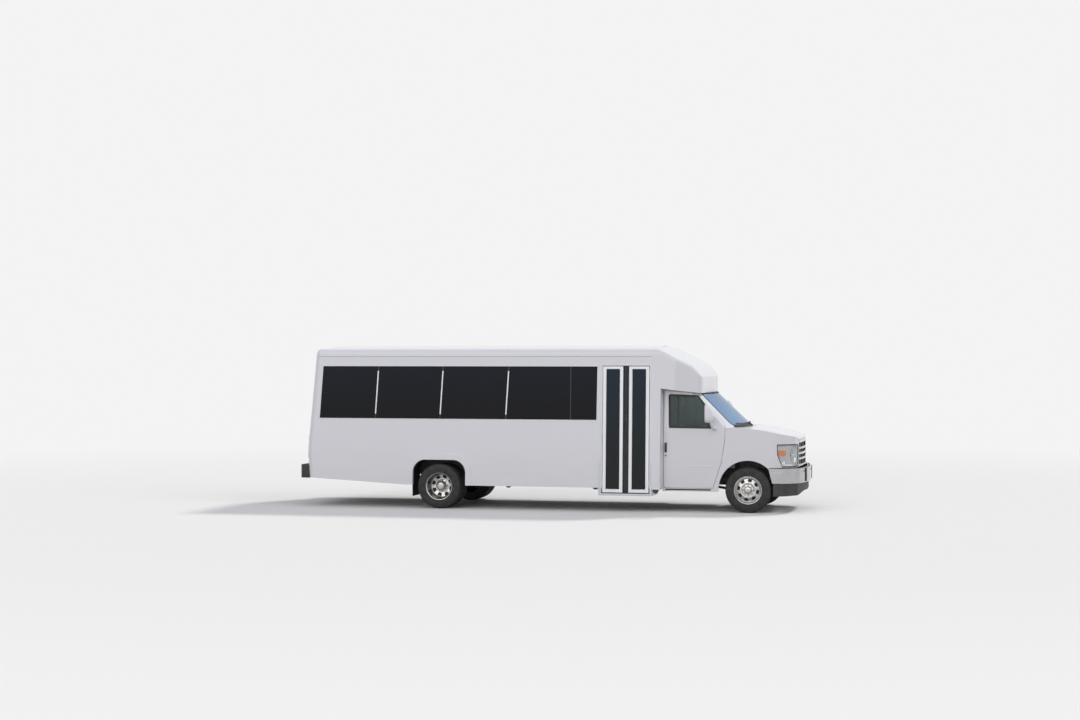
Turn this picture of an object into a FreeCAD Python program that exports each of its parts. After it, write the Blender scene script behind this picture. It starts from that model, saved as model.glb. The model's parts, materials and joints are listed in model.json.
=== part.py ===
import FreeCAD, Part
import math
import os

V = FreeCAD.Vector

# All sizes are in millimetres. X points forward, Y to the left, Z up.
# The origin is on the ground, under the middle of the whole bus.

# Length
wheelbase = 5130.0
front_overhang = 912.0
rear_overhang = 2468.0
overall_length = wheelbase + front_overhang + rear_overhang
front_axle_x = overall_length / 2 - front_overhang
rear_axle_x = front_axle_x - wheelbase

# Width: the cab is stepped in from the passenger body on each side
body_half_width = 1220.0
cab_step = 220.0
cab_half_width = body_half_width - cab_step
wall_lean = 90.0

# Height
roof_top_z = 2715.0
roof_edge_z = roof_top_z - 53
roof_seam_z = roof_top_z - 175
window_head_z = roof_seam_z - 163
window_sill_z = window_head_z - 890
floor_top_z = 800.0
skirt_z = 388.0
skirt_rear_z = 493.0
low_z = -300.0
high_z = roof_top_z + 300

# Walls and clearances
body_wall = 45.0
cab_wall = 50.0
cap_wall = 40.0
nose_wall = 30.0
glass_thickness = 6.0
panel_gap = 6.0
bonnet_gap = 9.0
entry_gap = 8.0
entry_head_gap = 10.0
rear_door_gap = 10.0
seat_gap = 0.3
running_clearance = 0.05
past = 100.0

# Wheels
tyre_radius = 372.0
tyre_width = 225.0
rim_radius = 222.0
rim_barrel = 16.0
wheel_flats = 32
front_wheel_y = cab_half_width - 120
rear_wheel_y = body_half_width - 237
dual_spacing = 254.0
bead_inset = 22.0
hand_hole_count = 8
hand_hole_radius = 15.0
hand_hole_flats = 8

# Axles and steering
kingpin_y = front_wheel_y - 80
kingpin_radius = 15.0
spindle_radius = 26.0
eye_radius = 34.0
eye_half = 42.0
axle_tube_radius = 42.0
spring_radius = 58.0

# Ladder frame
rail_half_gap = 365.0
rail_width = 65.0
rail_outer_y = rail_half_gap + rail_width
rail_bottom_z = 520.0
rail_top_z = 700.0
rail_wall = 10.0

# Passenger body
roof_corner_radius = 110.0
rear_corner_radius = 100.0
rear_bow_z = 950.0
rear_bow_radius = 1500.0
rear_top_lean = 140.0
rear_foot_lean = 35.0
rear_wall_x = -overall_length / 2 + 130
rear_seam_x = rear_wall_x + 195
cap_seam_x = front_axle_x - 1535
floor_thickness = 40.0
sill_height = 60.0
sill_width = 70.0
sill_count = 9
flare_height = 14.0
flare_width = 95.0

# Rear wheel arch
arch_half = 457.0
arch_top_z = 813.0
arch_corner = 215.0
rear_well_margin = 40.0
rear_well_wall = 13.0
rear_well_foot_z = 560.0

# Entry door on the right-hand side
entry_front_x = cap_seam_x - 45
entry_width = 780.0
entry_head_z = window_head_z + 5
entry_foot_z = 318.0
entry_frame = 52.0
entry_seal_width = 46.0
entry_seal_depth = 20.0
entry_pane_depth = 12.0
entry_surround_z = 265.0
entry_surround_margin = 62.0
step_depth = 260.0
step_wall = 30.0

# Window band
window_start_x = rear_wall_x + 221
window_end_x = entry_front_x - entry_width - 92
window_span = window_end_x - window_start_x
window_post = 60.0
window_border = 28.0
window_joint = 10.0

# Rear door
rear_door_half = 380.0
rear_door_foot_z = floor_top_z + 10
rear_door_head_z = window_head_z - 77
rear_door_frame = 90.0
rear_door_corner = 60.0

# Barrel hinges of the entry leaves and the rear door
hinge_pin_radius = 3.0
hinge_radius = 7.0
hinge_height = 96.0
hinge_offset = hinge_radius + 1
hinge_strap_width = 34.0
hinge_strap_thickness = 4.0
hinge_flats = 12
entry_hinge_heights = (entry_foot_z + 162, entry_foot_z + 982, entry_head_z - 142)
rear_hinge_heights = (rear_bow_z + 200, rear_bow_z + 700, rear_door_head_z - 150)

# Front cap over the cab
cap_nose_x = front_axle_x - 730
cap_foot_z = 1935.0
cap_notch_z = 2020.0
cap_height = roof_top_z - cap_foot_z
cap_edge_radius = 60.0

# Cab
cab_back_x = front_axle_x - 1393
cab_foot_z = 337.0
cab_belt_z = 1366.0
cab_top_z = 2035.0
cab_top_half_width = cab_half_width - 75
cab_floor_thickness = 40.0
cab_floor_z = rail_top_z + cab_floor_thickness
cab_front_x = front_axle_x - 279
door_front_x = front_axle_x - 369
cab_hinge_x = door_front_x + 14
cab_hinge_y = cab_half_width + 4
screen_base_x = front_axle_x - 40
screen_bow = 211.0
screen_side_y = cab_half_width - 140
screen_rake_x = 590.0
screen_rake_z = 560.0

# Nose
nose_tip_x = front_axle_x + 817
bonnet_half_width = cab_half_width - 255
bonnet_lip_z = 1172.0
grille_half = cab_half_width - 440
grille_foot_z = 738.0
arch_radius = 478.0
well_radius = 505.0
well_wall = 8.0
well_inner_y = front_wheel_y - 360
well_foot_z = 560.0
frame_front_x = nose_tip_x - 160

# Bumpers
bumper_half_width = cab_half_width - 15
bumper_top_z = 726.0
bumper_foot_z = 485.0
bumper_wall = 60.0
valance_foot_z = 272.0
valance_wall = 45.0
rear_bumper_half = body_half_width - 55
rear_bumper_top_z = 700.0
rear_bumper_foot_z = 478.0
rear_bumper_wall = 8.0

# Seats
seat_pitch = 760.0
seat_depth = 430.0
seat_place = 440.0
seat_height = 450.0
cab_seat_height = 330.0
back_height = 640.0


def box(x0, x1, y0, y1, z0, z1):
    """A block between two corners."""
    return Part.makeBox(x1 - x0, y1 - y0, z1 - z0, V(x0, y0, z0))


def to_side(side, inner, outer):
    """Two distances from the middle as low and high Y on one side of the bus."""
    return sorted((side * inner, side * outer))


def seen_from_side(y):
    """Places an outline's (x, z) on the plane of one y."""
    return lambda u, v: V(u, y, v)


def seen_from_front(x):
    """Places an outline's (y, z) on the plane of one x."""
    return lambda u, v: V(x, u, v)


def seen_from_top(z):
    """Places an outline's (x, y) on the plane of one z."""
    return lambda u, v: V(u, v, z)


bow = -1


def outline(rows, place):
    """A closed outline; a row is (u, v, radius of its corner), or a bow passes through it."""
    corners = []
    for i, (u, v, radius) in enumerate(rows):
        here = V(u, v, 0)
        if radius <= 0:
            corners.append([here])
            continue
        back = V(rows[i - 1][0] - u, rows[i - 1][1] - v, 0)
        ahead_row = rows[(i + 1) % len(rows)]
        ahead = V(ahead_row[0] - u, ahead_row[1] - v, 0)
        back.normalize()
        ahead.normalize()
        half = back.getAngle(ahead) / 2
        middle = back + ahead
        middle.normalize()
        reach = radius / math.tan(half)
        top = here + middle * (radius / math.sin(half) - radius)
        corners.append([here + back * reach, top, here + ahead * reach])
    edges = []
    for i, corner in enumerate(corners):
        if rows[i][2] == bow:
            continue
        points = [place(p.x, p.y) for p in corner]
        if len(points) == 3:
            edges.append(Part.Arc(*points).toShape())
        following = (i + 1) % len(rows)
        first = corners[following][0]
        end = place(first.x, first.y)
        if rows[following][2] == bow:
            last = corners[(i + 2) % len(rows)][0]
            edges.append(Part.Arc(points[-1], end, place(last.x, last.y)).toShape())
        elif (end - points[-1]).Length > 0.001:
            edges.append(Part.LineSegment(points[-1], end).toShape())
    return Part.Wire(edges)


def plate(rows, place, push, inset=0):
    """An outline pushed into a solid, its edge moved inwards by inset."""
    face = Part.Face(outline(rows, place))
    if inset:
        face = face.makeOffset2D(-inset)
    return face.extrude(push)


def across(rows, y0, y1, inset=0):
    """A side outline carried across from y0 to y1."""
    return plate(rows, seen_from_side(y0), V(0, y1 - y0, 0), inset)


def upright(rows, z0, z1, inset=0):
    """A plan outline carried up from z0 to z1."""
    return plate(rows, seen_from_top(z0), V(0, 0, z1 - z0), inset)


def mirrored_rows(rows):
    """Half a plan outline (x, y, radius) completed by its other half."""
    other = [(x, -y, radius) for x, y, radius in reversed(rows) if y != 0]
    return rows + other


def rod(start, end, radius):
    """A round bar between two points."""
    return Part.makeCylinder(radius, (end - start).Length, start, end - start)


def lying(x, y0, y1, z, radius):
    """A round bar across the bus."""
    return rod(V(x, y0, z), V(x, y1, z), radius)


def turned_flats(rows, centre, axis, sides):
    """A closed profile of (distance along the axis, radius) carried round it in flat faces."""
    spoke = axis.cross(V(1, 0, 0)) if abs(axis.x) < 0.9 else axis.cross(V(0, 1, 0))
    spoke.normalize()
    stretch = 1 / math.cos(math.pi / sides)
    rings = []
    for k in range(sides):
        way = FreeCAD.Rotation(axis, 360.0 * (k + 0.5) / sides).multVec(spoke)
        rings.append([centre + axis * along + way * (radius * stretch) for along, radius in rows])
    faces = []
    for here, there in zip(rings, rings[1:] + rings[:1]):
        for i in range(len(rows)):
            corners = []
            for point in (here[i - 1], here[i], there[i], there[i - 1]):
                if all((point - corner).Length > 0.001 for corner in corners):
                    corners.append(point)
            if len(corners) > 2:
                faces.append(Part.Face(Part.makePolygon(corners + corners[:1])))
    shell = Part.Shell(faces)
    shell.sewShape()
    solid = Part.Solid(shell)
    if solid.Volume < 0:
        solid.reverse()
    return solid


def flat_rod(start, end, radius, sides=16):
    """A bar between two points with flat faces round it, its corners on the radius."""
    way = end - start
    flat = radius * math.cos(math.pi / sides)
    rows = [(0, 0), (0, flat), (way.Length, flat), (way.Length, 0)]
    return turned_flats(rows, start, way.normalize(), sides)


def mirrored(shape):
    """The same piece on the other side of the bus."""
    return shape.mirror(V(0, 0, 0), V(0, 1, 0))


def both(shape):
    """A piece and its copy on the other side."""
    return [shape, mirrored(shape)]


def solids_of(shape):
    """The separate solids of a shape or of a list of shapes."""
    shapes = shape if isinstance(shape, list) else [shape]
    return [solid for item in shapes for solid in item.Solids]


def joined(shapes):
    """Pieces that touch, made one."""
    return shapes[0].fuse(shapes[1:]).removeSplitter()


# Passenger body: one leaning section along X, cut by the bowed rear wall

def body_half(z):
    """Half the body's width at a height: the wall leans in as it rises."""
    share = (z - skirt_z) / (roof_seam_z - skirt_z)
    return body_half_width - wall_lean * share


def rear_face_x(z):
    """Where the rear wall's outer face is at a height above its bow."""
    share = (z - rear_bow_z) / (roof_edge_z - rear_bow_z)
    return rear_wall_x + rear_top_lean * share


def body_section(corner):
    """The body seen from the front: leaning walls under a crowned roof."""
    return [
        (body_half(low_z), low_z, 0),
        (body_half(roof_edge_z), roof_edge_z, corner),
        (0, roof_top_z, 0),
        (-body_half(roof_edge_z), roof_edge_z, corner),
        (-body_half(low_z), low_z, 0),
    ]


def body_block(inset):
    """The passenger body as one block, every face moved in by inset."""
    start = rear_wall_x - 3 * past
    section = body_section(roof_corner_radius)
    along = plate(section, seen_from_front(start), V(cap_seam_x - start, 0, 0), inset)
    foot_x = rear_wall_x + rear_foot_lean
    profile = [
        (cap_seam_x + past, low_z + past, 0),
        (cap_seam_x + past, high_z, 0),
        (rear_face_x(high_z) + inset, high_z, 0),
        (rear_wall_x + inset, rear_bow_z, rear_bow_radius),
        (foot_x + inset, skirt_rear_z, 0),
        (foot_x + inset, low_z + past, 0),
    ]
    reach = body_half_width + past
    block = along.common(across(profile, -reach, reach)).Solids[0]
    if inset:
        return block
    behind = rear_wall_x + rear_top_lean + 0.6 * past
    edges = [edge for edge in block.Edges
             if edge.BoundBox.XMax < behind and edge.BoundBox.ZMin > low_z + 0.5 * past]
    return block.makeFillet(rear_corner_radius, edges)


def skirt_cut():
    """What is below the skirt, which rises towards the rear."""
    rise_x = rear_axle_x - 600
    behind = rear_wall_x - 2 * past
    rows = [
        (behind, low_z - past, 0),
        (cap_seam_x + past, low_z - past, 0),
        (cap_seam_x + past, skirt_z, 0),
        (rise_x, skirt_z + 5, 0),
        (behind, skirt_rear_z + 8, 0),
    ]
    reach = body_half_width + past
    return across(rows, -reach, reach)


def rear_arch_rows(margin):
    """The rear wheel arch seen from the side: flat on top, with large corners."""
    half = arch_half + margin
    top = arch_top_z + margin
    corner = arch_corner + margin
    return [
        (rear_axle_x - half, 0, 0),
        (rear_axle_x + half, 0, 0),
        (rear_axle_x + half, top, corner),
        (rear_axle_x - half, top, corner),
    ]


# Window joints: (place along the band from its rear end, rake of the joint over its height)
joint_table = [
    (0.0, 55.0),
    (0.2069, 51.0),
    (0.4426, 51.0),
    (0.6782, 51.0),
    (0.9076, 0.0),
    (1.0, 10.0),
]
right_joints = []
for share, rake in joint_table:
    foot_x = window_start_x + share * window_span
    right_joints.append((foot_x, foot_x + rake))
bay_pitch = right_joints[3][0] - right_joints[2][0]
left_joints = right_joints[:4] + [
    (right_joints[3][0] + bay_pitch, right_joints[3][1] + bay_pitch - 20),
    (cap_seam_x - 90, cap_seam_x - 80),
]


def bay_rows(start, end, margin, sill, head):
    """One bay between two joints, made smaller by margin."""
    return [
        (start[0] + margin, sill, 0),
        (end[0] - margin, sill, 0),
        (end[1] - margin, head, 0),
        (start[1] + margin, head, 0),
    ]


def side_reach(side):
    """From well inside the body to outside it, on one side."""
    return to_side(side, body_half_width - 4 * past, body_half_width + past)


def side_glass(joints, side):
    """The flush panes of one side, one solid a bay."""
    y0, y1 = side_reach(side)
    panes = []
    for start, end in zip(joints, joints[1:]):
        rows = bay_rows(start, end, window_joint / 2, window_sill_z, window_head_z)
        panes.append(across(rows, y0, y1).common(glass_skin))
    return panes


def side_wall(joints, side):
    """One side wall with its glass rebate, window openings and flared wheel arch."""
    y0, y1 = side_reach(side)
    region = box(rear_seam_x, cap_seam_x, y0, y1, 0, roof_seam_z)
    wall = body_shell.common(region).fuse(rear_flare(side))
    band = bay_rows(joints[0], joints[-1], 0, window_sill_z, window_head_z)
    cuts = [across(band, y0, y1).common(glass_skin)]
    for start, end in zip(joints, joints[1:]):
        rows = bay_rows(start, end, window_post / 2, window_sill_z + window_border,
                        window_head_z - window_border)
        cuts.append(across(rows, y0, y1))
    cuts.append(across(rear_arch_rows(0), y0, y1))
    cuts.append(skirt_cut())
    return wall.cut(cuts)


def rear_flare(side):
    """The raised moulding round a rear wheel arch."""
    y0, y1 = side_reach(side)
    ring = across(rear_arch_rows(flare_width), y0, y1)
    return ring.common(flare_layer(flare_height).cut(body_outside))


def flare_layer(height):
    """The body's leaning sides moved out by a height."""
    rows = [
        (body_half(low_z) + height, low_z, 0),
        (body_half(roof_seam_z) + height, roof_seam_z, 0),
        (-body_half(roof_seam_z) - height, roof_seam_z, 0),
        (-body_half(low_z) - height, low_z, 0),
    ]
    start = rear_seam_x + 20
    return plate(rows, seen_from_front(start), V(cap_seam_x - 20 - start, 0, 0))


body_outside = body_block(0)
body_inside = body_block(body_wall)
body_shell = body_outside.cut(body_inside)
glass_skin = body_outside.cut(body_block(glass_thickness))


# Hinges

def barrel_hinge(centre, fixed_way, outward):
    """A barrel hinge over a seam: the fixed half with its pin, and the moving half."""
    half = hinge_height / 2
    third = hinge_height / 6
    fixed = [flat_rod(V(0, 0, -half), V(0, 0, half), hinge_pin_radius, hinge_flats)]
    moving = []
    for pieces, way, low, high in (
        (fixed, 1, -half, -third),
        (fixed, 1, third, half),
        (moving, -1, -third + seat_gap, third - seat_gap),
    ):
        x0, x1 = sorted((0, way * hinge_strap_width))
        pieces.append(flat_rod(V(0, 0, low), V(0, 0, high), hinge_radius, hinge_flats))
        pieces.append(box(x0, x1, -hinge_offset, hinge_strap_thickness - hinge_offset, low, high))
    radius = hinge_pin_radius + running_clearance
    bore_rows = [(-half, 0), (-half, radius), (half, radius), (half, 0)]
    bore = turned_flats(bore_rows, V(0, 0, 0), V(0, 0, 1), hinge_flats)
    along = fixed_way.cross(outward)
    placing = FreeCAD.Placement(FreeCAD.Matrix(
        fixed_way.x, outward.x, along.x, centre.x,
        fixed_way.y, outward.y, along.y, centre.y,
        fixed_way.z, outward.z, along.z, centre.z,
        0, 0, 0, 1,
    ))
    halves = [joined(fixed), joined(moving).cut(bore)]
    for shape in halves:
        shape.Placement = placing
    return halves


def hinge_row(heights, place, fixed_way, outward):
    """Hinges at several heights: all their fixed halves, and all their moving halves."""
    fixed = []
    moving = []
    for z in heights:
        halves = barrel_hinge(place(z) + outward * hinge_offset, fixed_way, outward)
        fixed.append(halves[0])
        moving.append(halves[1])
    return fixed, moving


# Entry door

def entry_leaf_rows(start, end, margin, head_gap=0):
    """A door leaf's outline seen from the side."""
    return [
        (start + margin, entry_foot_z + margin, 0),
        (end - margin, entry_foot_z + margin, 0),
        (end - margin, entry_head_z - head_gap - margin, 0),
        (start + margin, entry_head_z - head_gap - margin, 0),
    ]


def make_entry_leaf(front):
    """A leaf of the entry door, its pane and edge seal, and its hinges' fixed halves."""
    middle = entry_front_x - entry_width / 2
    way = 1 if front else -1
    hinge_side_x = entry_front_x if front else entry_front_x - entry_width
    seal_inner = middle + way * entry_gap / 2
    leaf_inner = seal_inner + way * entry_seal_width
    start, end = sorted((leaf_inner, hinge_side_x - way * entry_gap))
    y0, y1 = side_reach(-1)
    frame = across(entry_leaf_rows(start, end, 0, entry_head_gap), y0, y1).common(body_shell)
    hole = across(entry_leaf_rows(start, end, entry_frame), y0, y1)
    pane_skin = body_block(entry_pane_depth).cut(body_block(entry_pane_depth + glass_thickness))
    seal_set_back = 2.0
    seal_skin = body_block(seal_set_back).cut(body_block(seal_set_back + entry_seal_depth))
    seal_start, seal_end = sorted((seal_inner, leaf_inner))
    seal = across(entry_leaf_rows(seal_start, seal_end, 0, entry_head_gap), y0, y1)
    hinge_x = hinge_side_x - way * entry_gap / 2
    slope = wall_lean / (roof_seam_z - skirt_z)
    outward = V(0, -1, slope).normalize()
    fixed, moving = hinge_row(entry_hinge_heights, lambda z: V(hinge_x, -body_half(z), z),
                              V(way, 0, 0), outward)
    leaf = joined([frame.cut(hole)] + moving)
    return leaf, [hole.common(pane_skin), seal.common(seal_skin)], fixed


def make_entry_step(wall_piece):
    """The step well under the entry door: a surround and two treads."""
    x0 = entry_front_x - entry_width - entry_surround_margin
    x1 = cap_seam_x - 2
    outside_y = -body_half(skirt_z) - 2
    inside_y = outside_y + 2 * step_depth + step_wall
    riser_y = outside_y + step_depth + step_wall
    bottom_z = entry_surround_z + 35
    tread_z = (bottom_z + floor_top_z) / 2
    well = joined([
        box(x0, x1, outside_y, inside_y, entry_surround_z, bottom_z),
        box(x0, x0 + step_wall, outside_y, inside_y, entry_surround_z, floor_top_z),
        box(x1 - step_wall, x1, outside_y, inside_y, entry_surround_z, floor_top_z),
        box(x0, x1, inside_y, inside_y + step_wall, entry_surround_z, floor_top_z),
        box(x0, x1, riser_y, inside_y, tread_z - step_wall, tread_z),
        box(x0, x1, riser_y, riser_y + 20, bottom_z, tread_z),
    ])
    return well.cut(wall_piece)


# Floor, roof and rear end

def rear_well_reach(side):
    """From the inner face of a rear wheel's liner to just inside the wall's outer face."""
    inner = rear_wheel_y - dual_spacing / 2 - tyre_width / 2 - rear_well_margin
    return to_side(side, inner, body_half_width - 20)


def make_floor(cap):
    """The cabin floor on its cross sills, cut round the wheels and the entry."""
    half = body_half(floor_top_z) - body_wall - 2
    back = rear_wall_x + body_wall + 20
    foot = floor_top_z - floor_thickness
    pieces = [
        box(back, cap_seam_x, -half, half, foot, floor_top_z),
        box(cap_seam_x, cab_back_x, -cab_half_width, cab_half_width, foot, floor_top_z),
    ]
    first = back + 150
    step = (cap_seam_x - 60 - first) / (sill_count - 1)
    for i in range(sill_count):
        x = first + i * step
        pieces.append(box(x - sill_width / 2, x + sill_width / 2, 10 - half, half - 10,
                          foot - sill_height, foot))
    cuts = [cap]
    wheel_half = arch_half + rear_well_margin
    for side in (1, -1):
        y0, y1 = rear_well_reach(side)
        cuts.append(box(rear_axle_x - wheel_half, rear_axle_x + wheel_half, y0, y1, 0, high_z))
    x0 = entry_front_x - entry_width - entry_surround_margin
    well_y = -body_half(skirt_z) - 2 + 2 * step_depth + 2 * step_wall
    cuts.append(box(x0, cap_seam_x - 2, -half - past, well_y, 0, high_z))
    return joined(pieces).cut(cuts)


def make_roof():
    """The roof panel above the seam."""
    reach = body_half_width + past
    return body_shell.common(box(rear_seam_x, cap_seam_x, -reach, reach, roof_seam_z, high_z))


def rear_door_rows(margin):
    """The rear door's outline seen from behind."""
    half = rear_door_half - margin
    return [
        (-half, rear_door_foot_z + margin, rear_door_corner),
        (half, rear_door_foot_z + margin, rear_door_corner),
        (half, rear_door_head_z - margin, rear_door_corner),
        (-half, rear_door_head_z - margin, rear_door_corner),
    ]


def rear_window_rows():
    """The rear door window's outline seen from behind."""
    half = rear_door_half - rear_door_frame
    foot = window_sill_z + 13
    head = rear_door_head_z - rear_door_frame - 10
    corner = rear_door_corner - 10
    return [(-half, foot, corner), (half, foot, corner), (half, head, corner), (-half, head, corner)]


def from_behind(rows):
    """A rear outline carried through the rear wall."""
    return plate(rows, seen_from_front(rear_wall_x - past), V(5 * past, 0, 0))


def make_rear_end():
    """The rear wall, its door and the door's pane, with their hinges on the right."""
    reach = body_half_width + past
    region = box(rear_wall_x - past, rear_seam_x, -reach, reach, 0, high_z)
    wall = body_shell.common(region).cut([from_behind(rear_door_rows(0)), skirt_cut()])
    door = body_shell.common(from_behind(rear_door_rows(rear_door_gap)))
    hole = from_behind(rear_window_rows())
    pane_depth = 10.0
    pane_skin = body_block(pane_depth).cut(body_block(pane_depth + glass_thickness))
    slope = rear_top_lean / (roof_edge_z - rear_bow_z)
    hinge_y = rear_door_gap / 2 - rear_door_half
    fixed, moving = hinge_row(rear_hinge_heights, lambda z: V(rear_face_x(z), hinge_y, z),
                              V(0, -1, 0), V(-1, 0, slope).normalize())
    return joined([wall] + fixed), joined([door.cut(hole)] + moving), pane_skin.common(hole)


# Front cap: three crossing outlines, its long edges rounded, hollowed

def cap_plan():
    """The cap seen from above."""
    back = body_half_width + 20
    return mirrored_rows([
        (cap_seam_x - 2 * past, back, 0),
        (cap_seam_x + 160, back, 500),
        (cap_nose_x - 30, body_half_width - 260, 170),
        (cap_nose_x + 20, 0, 0),
    ])


def cap_block(inset):
    """The cap as one block, moved in by inset."""
    length = cap_nose_x - cap_seam_x + 4 * past
    along = plate(body_section(roof_corner_radius), seen_from_front(cap_seam_x),
                  V(length, 0, 0), inset)
    reach = body_half_width + past
    foot = cap_foot_z - 4 * past
    rows = [
        (cap_seam_x - past, foot, 0),
        (cap_seam_x - past, roof_top_z + 20, 0),
        (cap_seam_x + 10, roof_top_z - 12, 1.15 * cap_height),
        (cap_seam_x + 640, cap_foot_z + 0.577 * cap_height, 0.54 * cap_height),
        (cap_nose_x - 25, cap_foot_z + 0.34 * cap_height, 0),
        (cap_nose_x, foot, 0),
    ]
    side = across(rows, -reach, reach, inset)
    plan = upright(cap_plan(), foot - past, high_z, inset)
    return along.common(side).common(plan).Solids[0]


def rounded_cap():
    """The cap's outer form with its long edges rounded."""
    block = cap_block(0)
    edges = []
    for edge in block.Edges:
        size = edge.BoundBox
        ahead = size.XMin > cap_seam_x - 1 and size.XMax > cap_seam_x + 5
        on_middle = abs(size.YMin) < 1 and abs(size.YMax) < 1
        if ahead and size.ZMax > cap_foot_z and not on_middle:
            edges.append(edge)
    return block.makeFillet(cap_edge_radius, edges)


def below_cap(rise):
    """What is below the cap's underside, moved up by rise."""
    reach = body_half_width + past
    behind = cap_seam_x - 50
    rows = [
        (behind, 0, 0),
        (cap_nose_x + 2 * past, 0, 0),
        (cap_nose_x + 2 * past, cap_foot_z - 25 + rise, 0),
        (cab_back_x - 50, cap_notch_z + rise, 0),
        (behind, cap_notch_z + rise, 0),
    ]
    return across(rows, -reach, reach)


def above_cap_foot():
    """What is above the cap's underside."""
    reach = cab_half_width + 2 * past
    tall = box(cab_back_x - 50, cap_nose_x + 150, -reach, reach, cap_foot_z - 4 * past, high_z)
    return tall.cut(below_cap(0))


def make_front_cap():
    """The moulded cap over the cab, with the columns beside the entry and the cab."""
    outside = rounded_cap()
    hood = outside.cut(cap_block(cap_wall)).cut(below_cap(0))
    soffit = outside.common(below_cap(cap_wall)).cut(below_cap(0))
    opening = cab_top_half_width - cab_wall - 10
    soffit = soffit.cut(box(cap_seam_x - 10, cap_nose_x - 220, -opening, opening, 0, high_z))
    return joined([hood, soffit] + both(cap_column()))


def cap_column():
    """The upright side panel behind the cab door, with its return to the cab."""
    outer_y = body_half_width + 20
    inner_y = body_half(cap_notch_z) - body_wall
    return_y = cab_half_width + 6
    rows = [
        (cap_seam_x, -outer_y, 0),
        (cab_back_x - 15, -outer_y, 0),
        (cab_back_x + 8, -return_y, 0),
        (cab_back_x - 25, -return_y, 0),
        (cab_back_x - 60, -inner_y, 0),
        (cap_seam_x, -inner_y, 0),
    ]
    column = upright(rows, skirt_z - 15, cap_notch_z + 5)
    lean = plate(body_section(0), seen_from_front(cap_seam_x), V(4 * past, 0, 0))
    return column.common(lean)


# Cab

cab_section = [
    (cab_half_width, low_z, 0),
    (cab_half_width, cab_belt_z, 0),
    (cab_top_half_width, cab_top_z + 200, 0),
    (-cab_top_half_width, cab_top_z + 200, 0),
    (-cab_half_width, cab_belt_z, 0),
    (-cab_half_width, low_z, 0),
]


def cab_along(start, inset):
    """The cab's front outline carried forward past the nose."""
    return plate(cab_section, seen_from_front(start), V(nose_tip_x - start, 0, 0), inset)


def cab_upper(inset):
    """The cab above its belt: the windscreen's leaning cylinder between the pillars' planes."""
    rake = V(-screen_rake_x, 0, screen_rake_z)
    steepness = screen_rake_z / rake.Length
    depth = screen_bow * steepness
    radius = (screen_side_y ** 2 + depth ** 2) / (2 * depth)
    forward = V(screen_rake_z, 0, screen_rake_x).normalize()
    lean = V(rake).normalize()
    axis_point = V(screen_base_x, 0, cab_belt_z) - forward * radius - lean * past
    screen = Part.makeCylinder(radius - inset, 2 * radius, axis_point, lean)
    wide = cab_half_width + 20
    slope = 0.7
    shift = inset / steepness
    side_x = screen_base_x - screen_bow - (wide - screen_side_y) * slope - shift
    front_x = screen_base_x + 10 - shift
    plan = mirrored_rows([
        (cab_back_x - 7 * past, wide, 0),
        (side_x, wide, 0),
        (front_x, wide - (front_x - side_x) / slope, 0),
    ])
    rise = (cab_top_z - cab_belt_z) / screen_rake_z
    return plate(plan, seen_from_top(cab_belt_z), rake * rise).common(screen)


def cab_block(inset):
    """The cab as one block, its sides and screen moved in by inset."""
    start = cab_back_x - (6 * past if inset else 0)
    reach = cab_half_width + past
    foot = cab_floor_z if inset else cab_foot_z
    lower = box(start, cab_front_x - inset, -reach, reach, foot, cab_belt_z)
    upper = cab_upper(inset).common(box(start, nose_tip_x, -reach, reach, 0, cab_top_z))
    return lower.fuse(upper).common(cab_along(start, inset))


cab_outside = cab_block(0)
cab_skin = cab_outside.cut(cab_block(cab_wall))


def cab_side(outer, inner):
    """The cab's two side skins between two depths."""
    skin = cab_along(cab_back_x, outer).cut(cab_along(cab_back_x, inner))
    return skin.common(cab_outside)


def cab_reach(side):
    """From well inside the cab to outside it, on one side."""
    return to_side(side, cab_half_width - 4 * past, cab_half_width + past)


def cab_door_rows(margin):
    """The cab door seen from the side; its front edge follows the wheel arch."""
    back = cab_back_x + 14 + margin
    front = door_front_x - margin
    foot = cab_foot_z + 52 + margin
    return [
        (back, foot, 40),
        (front - 196, foot, 0),
        (front - 150, cab_foot_z + 194, 300),
        (front - 55, cab_foot_z + 487, 300),
        (front, cab_belt_z - 185, 300),
        (front + 4, cab_belt_z + 54, 0),
        (front - 345, cab_top_z - 114 - 0.7 * margin, 60),
        (back, cab_top_z - 45 - margin, 30),
    ]


cab_window_rows = [
    (cab_back_x + 103, cab_belt_z + 14, 30),
    (door_front_x - 221, cab_belt_z + 6, 20),
    (door_front_x - 337, cab_top_z - 266, 90),
    (door_front_x - 446, cab_top_z - 133, 40),
    (cab_back_x + 93, cab_top_z - 115, 40),
]


def make_cab_door(side):
    """A cab door, as thick as the cab's wall, and its pane."""
    y0, y1 = cab_reach(side)
    panel = cab_side(0, cab_wall).common(across(cab_door_rows(panel_gap), y0, y1))
    swing = cab_hinge_x - cab_back_x - 14 - panel_gap
    panel = panel.common(Part.makeCylinder(swing, high_z, V(cab_hinge_x, side * cab_hinge_y, 0)))
    hole = across(cab_window_rows, y0, y1)
    pane_depth = 16.0
    pane = hole.common(cab_side(pane_depth, pane_depth + glass_thickness))
    return panel.cut(hole), pane


def door_hinge_blocks():
    """The blocks that carry the cab doors in the seam ahead of them."""
    blocks = []
    skin = cab_side(10.0, cab_wall - 2)
    for side in (1, -1):
        y0, y1 = cab_reach(side)
        seam = across(cab_door_rows(0), y0, y1)
        seam = seam.cut(across(cab_door_rows(panel_gap - seat_gap), y0, y1)).common(skin)
        for z in (cab_belt_z - 466, cab_belt_z - 101):
            blocks.append(seam.common(box(door_front_x - past, door_front_x + 20, y0, y1,
                                          z - 35, z + 35)))
    return blocks


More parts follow.
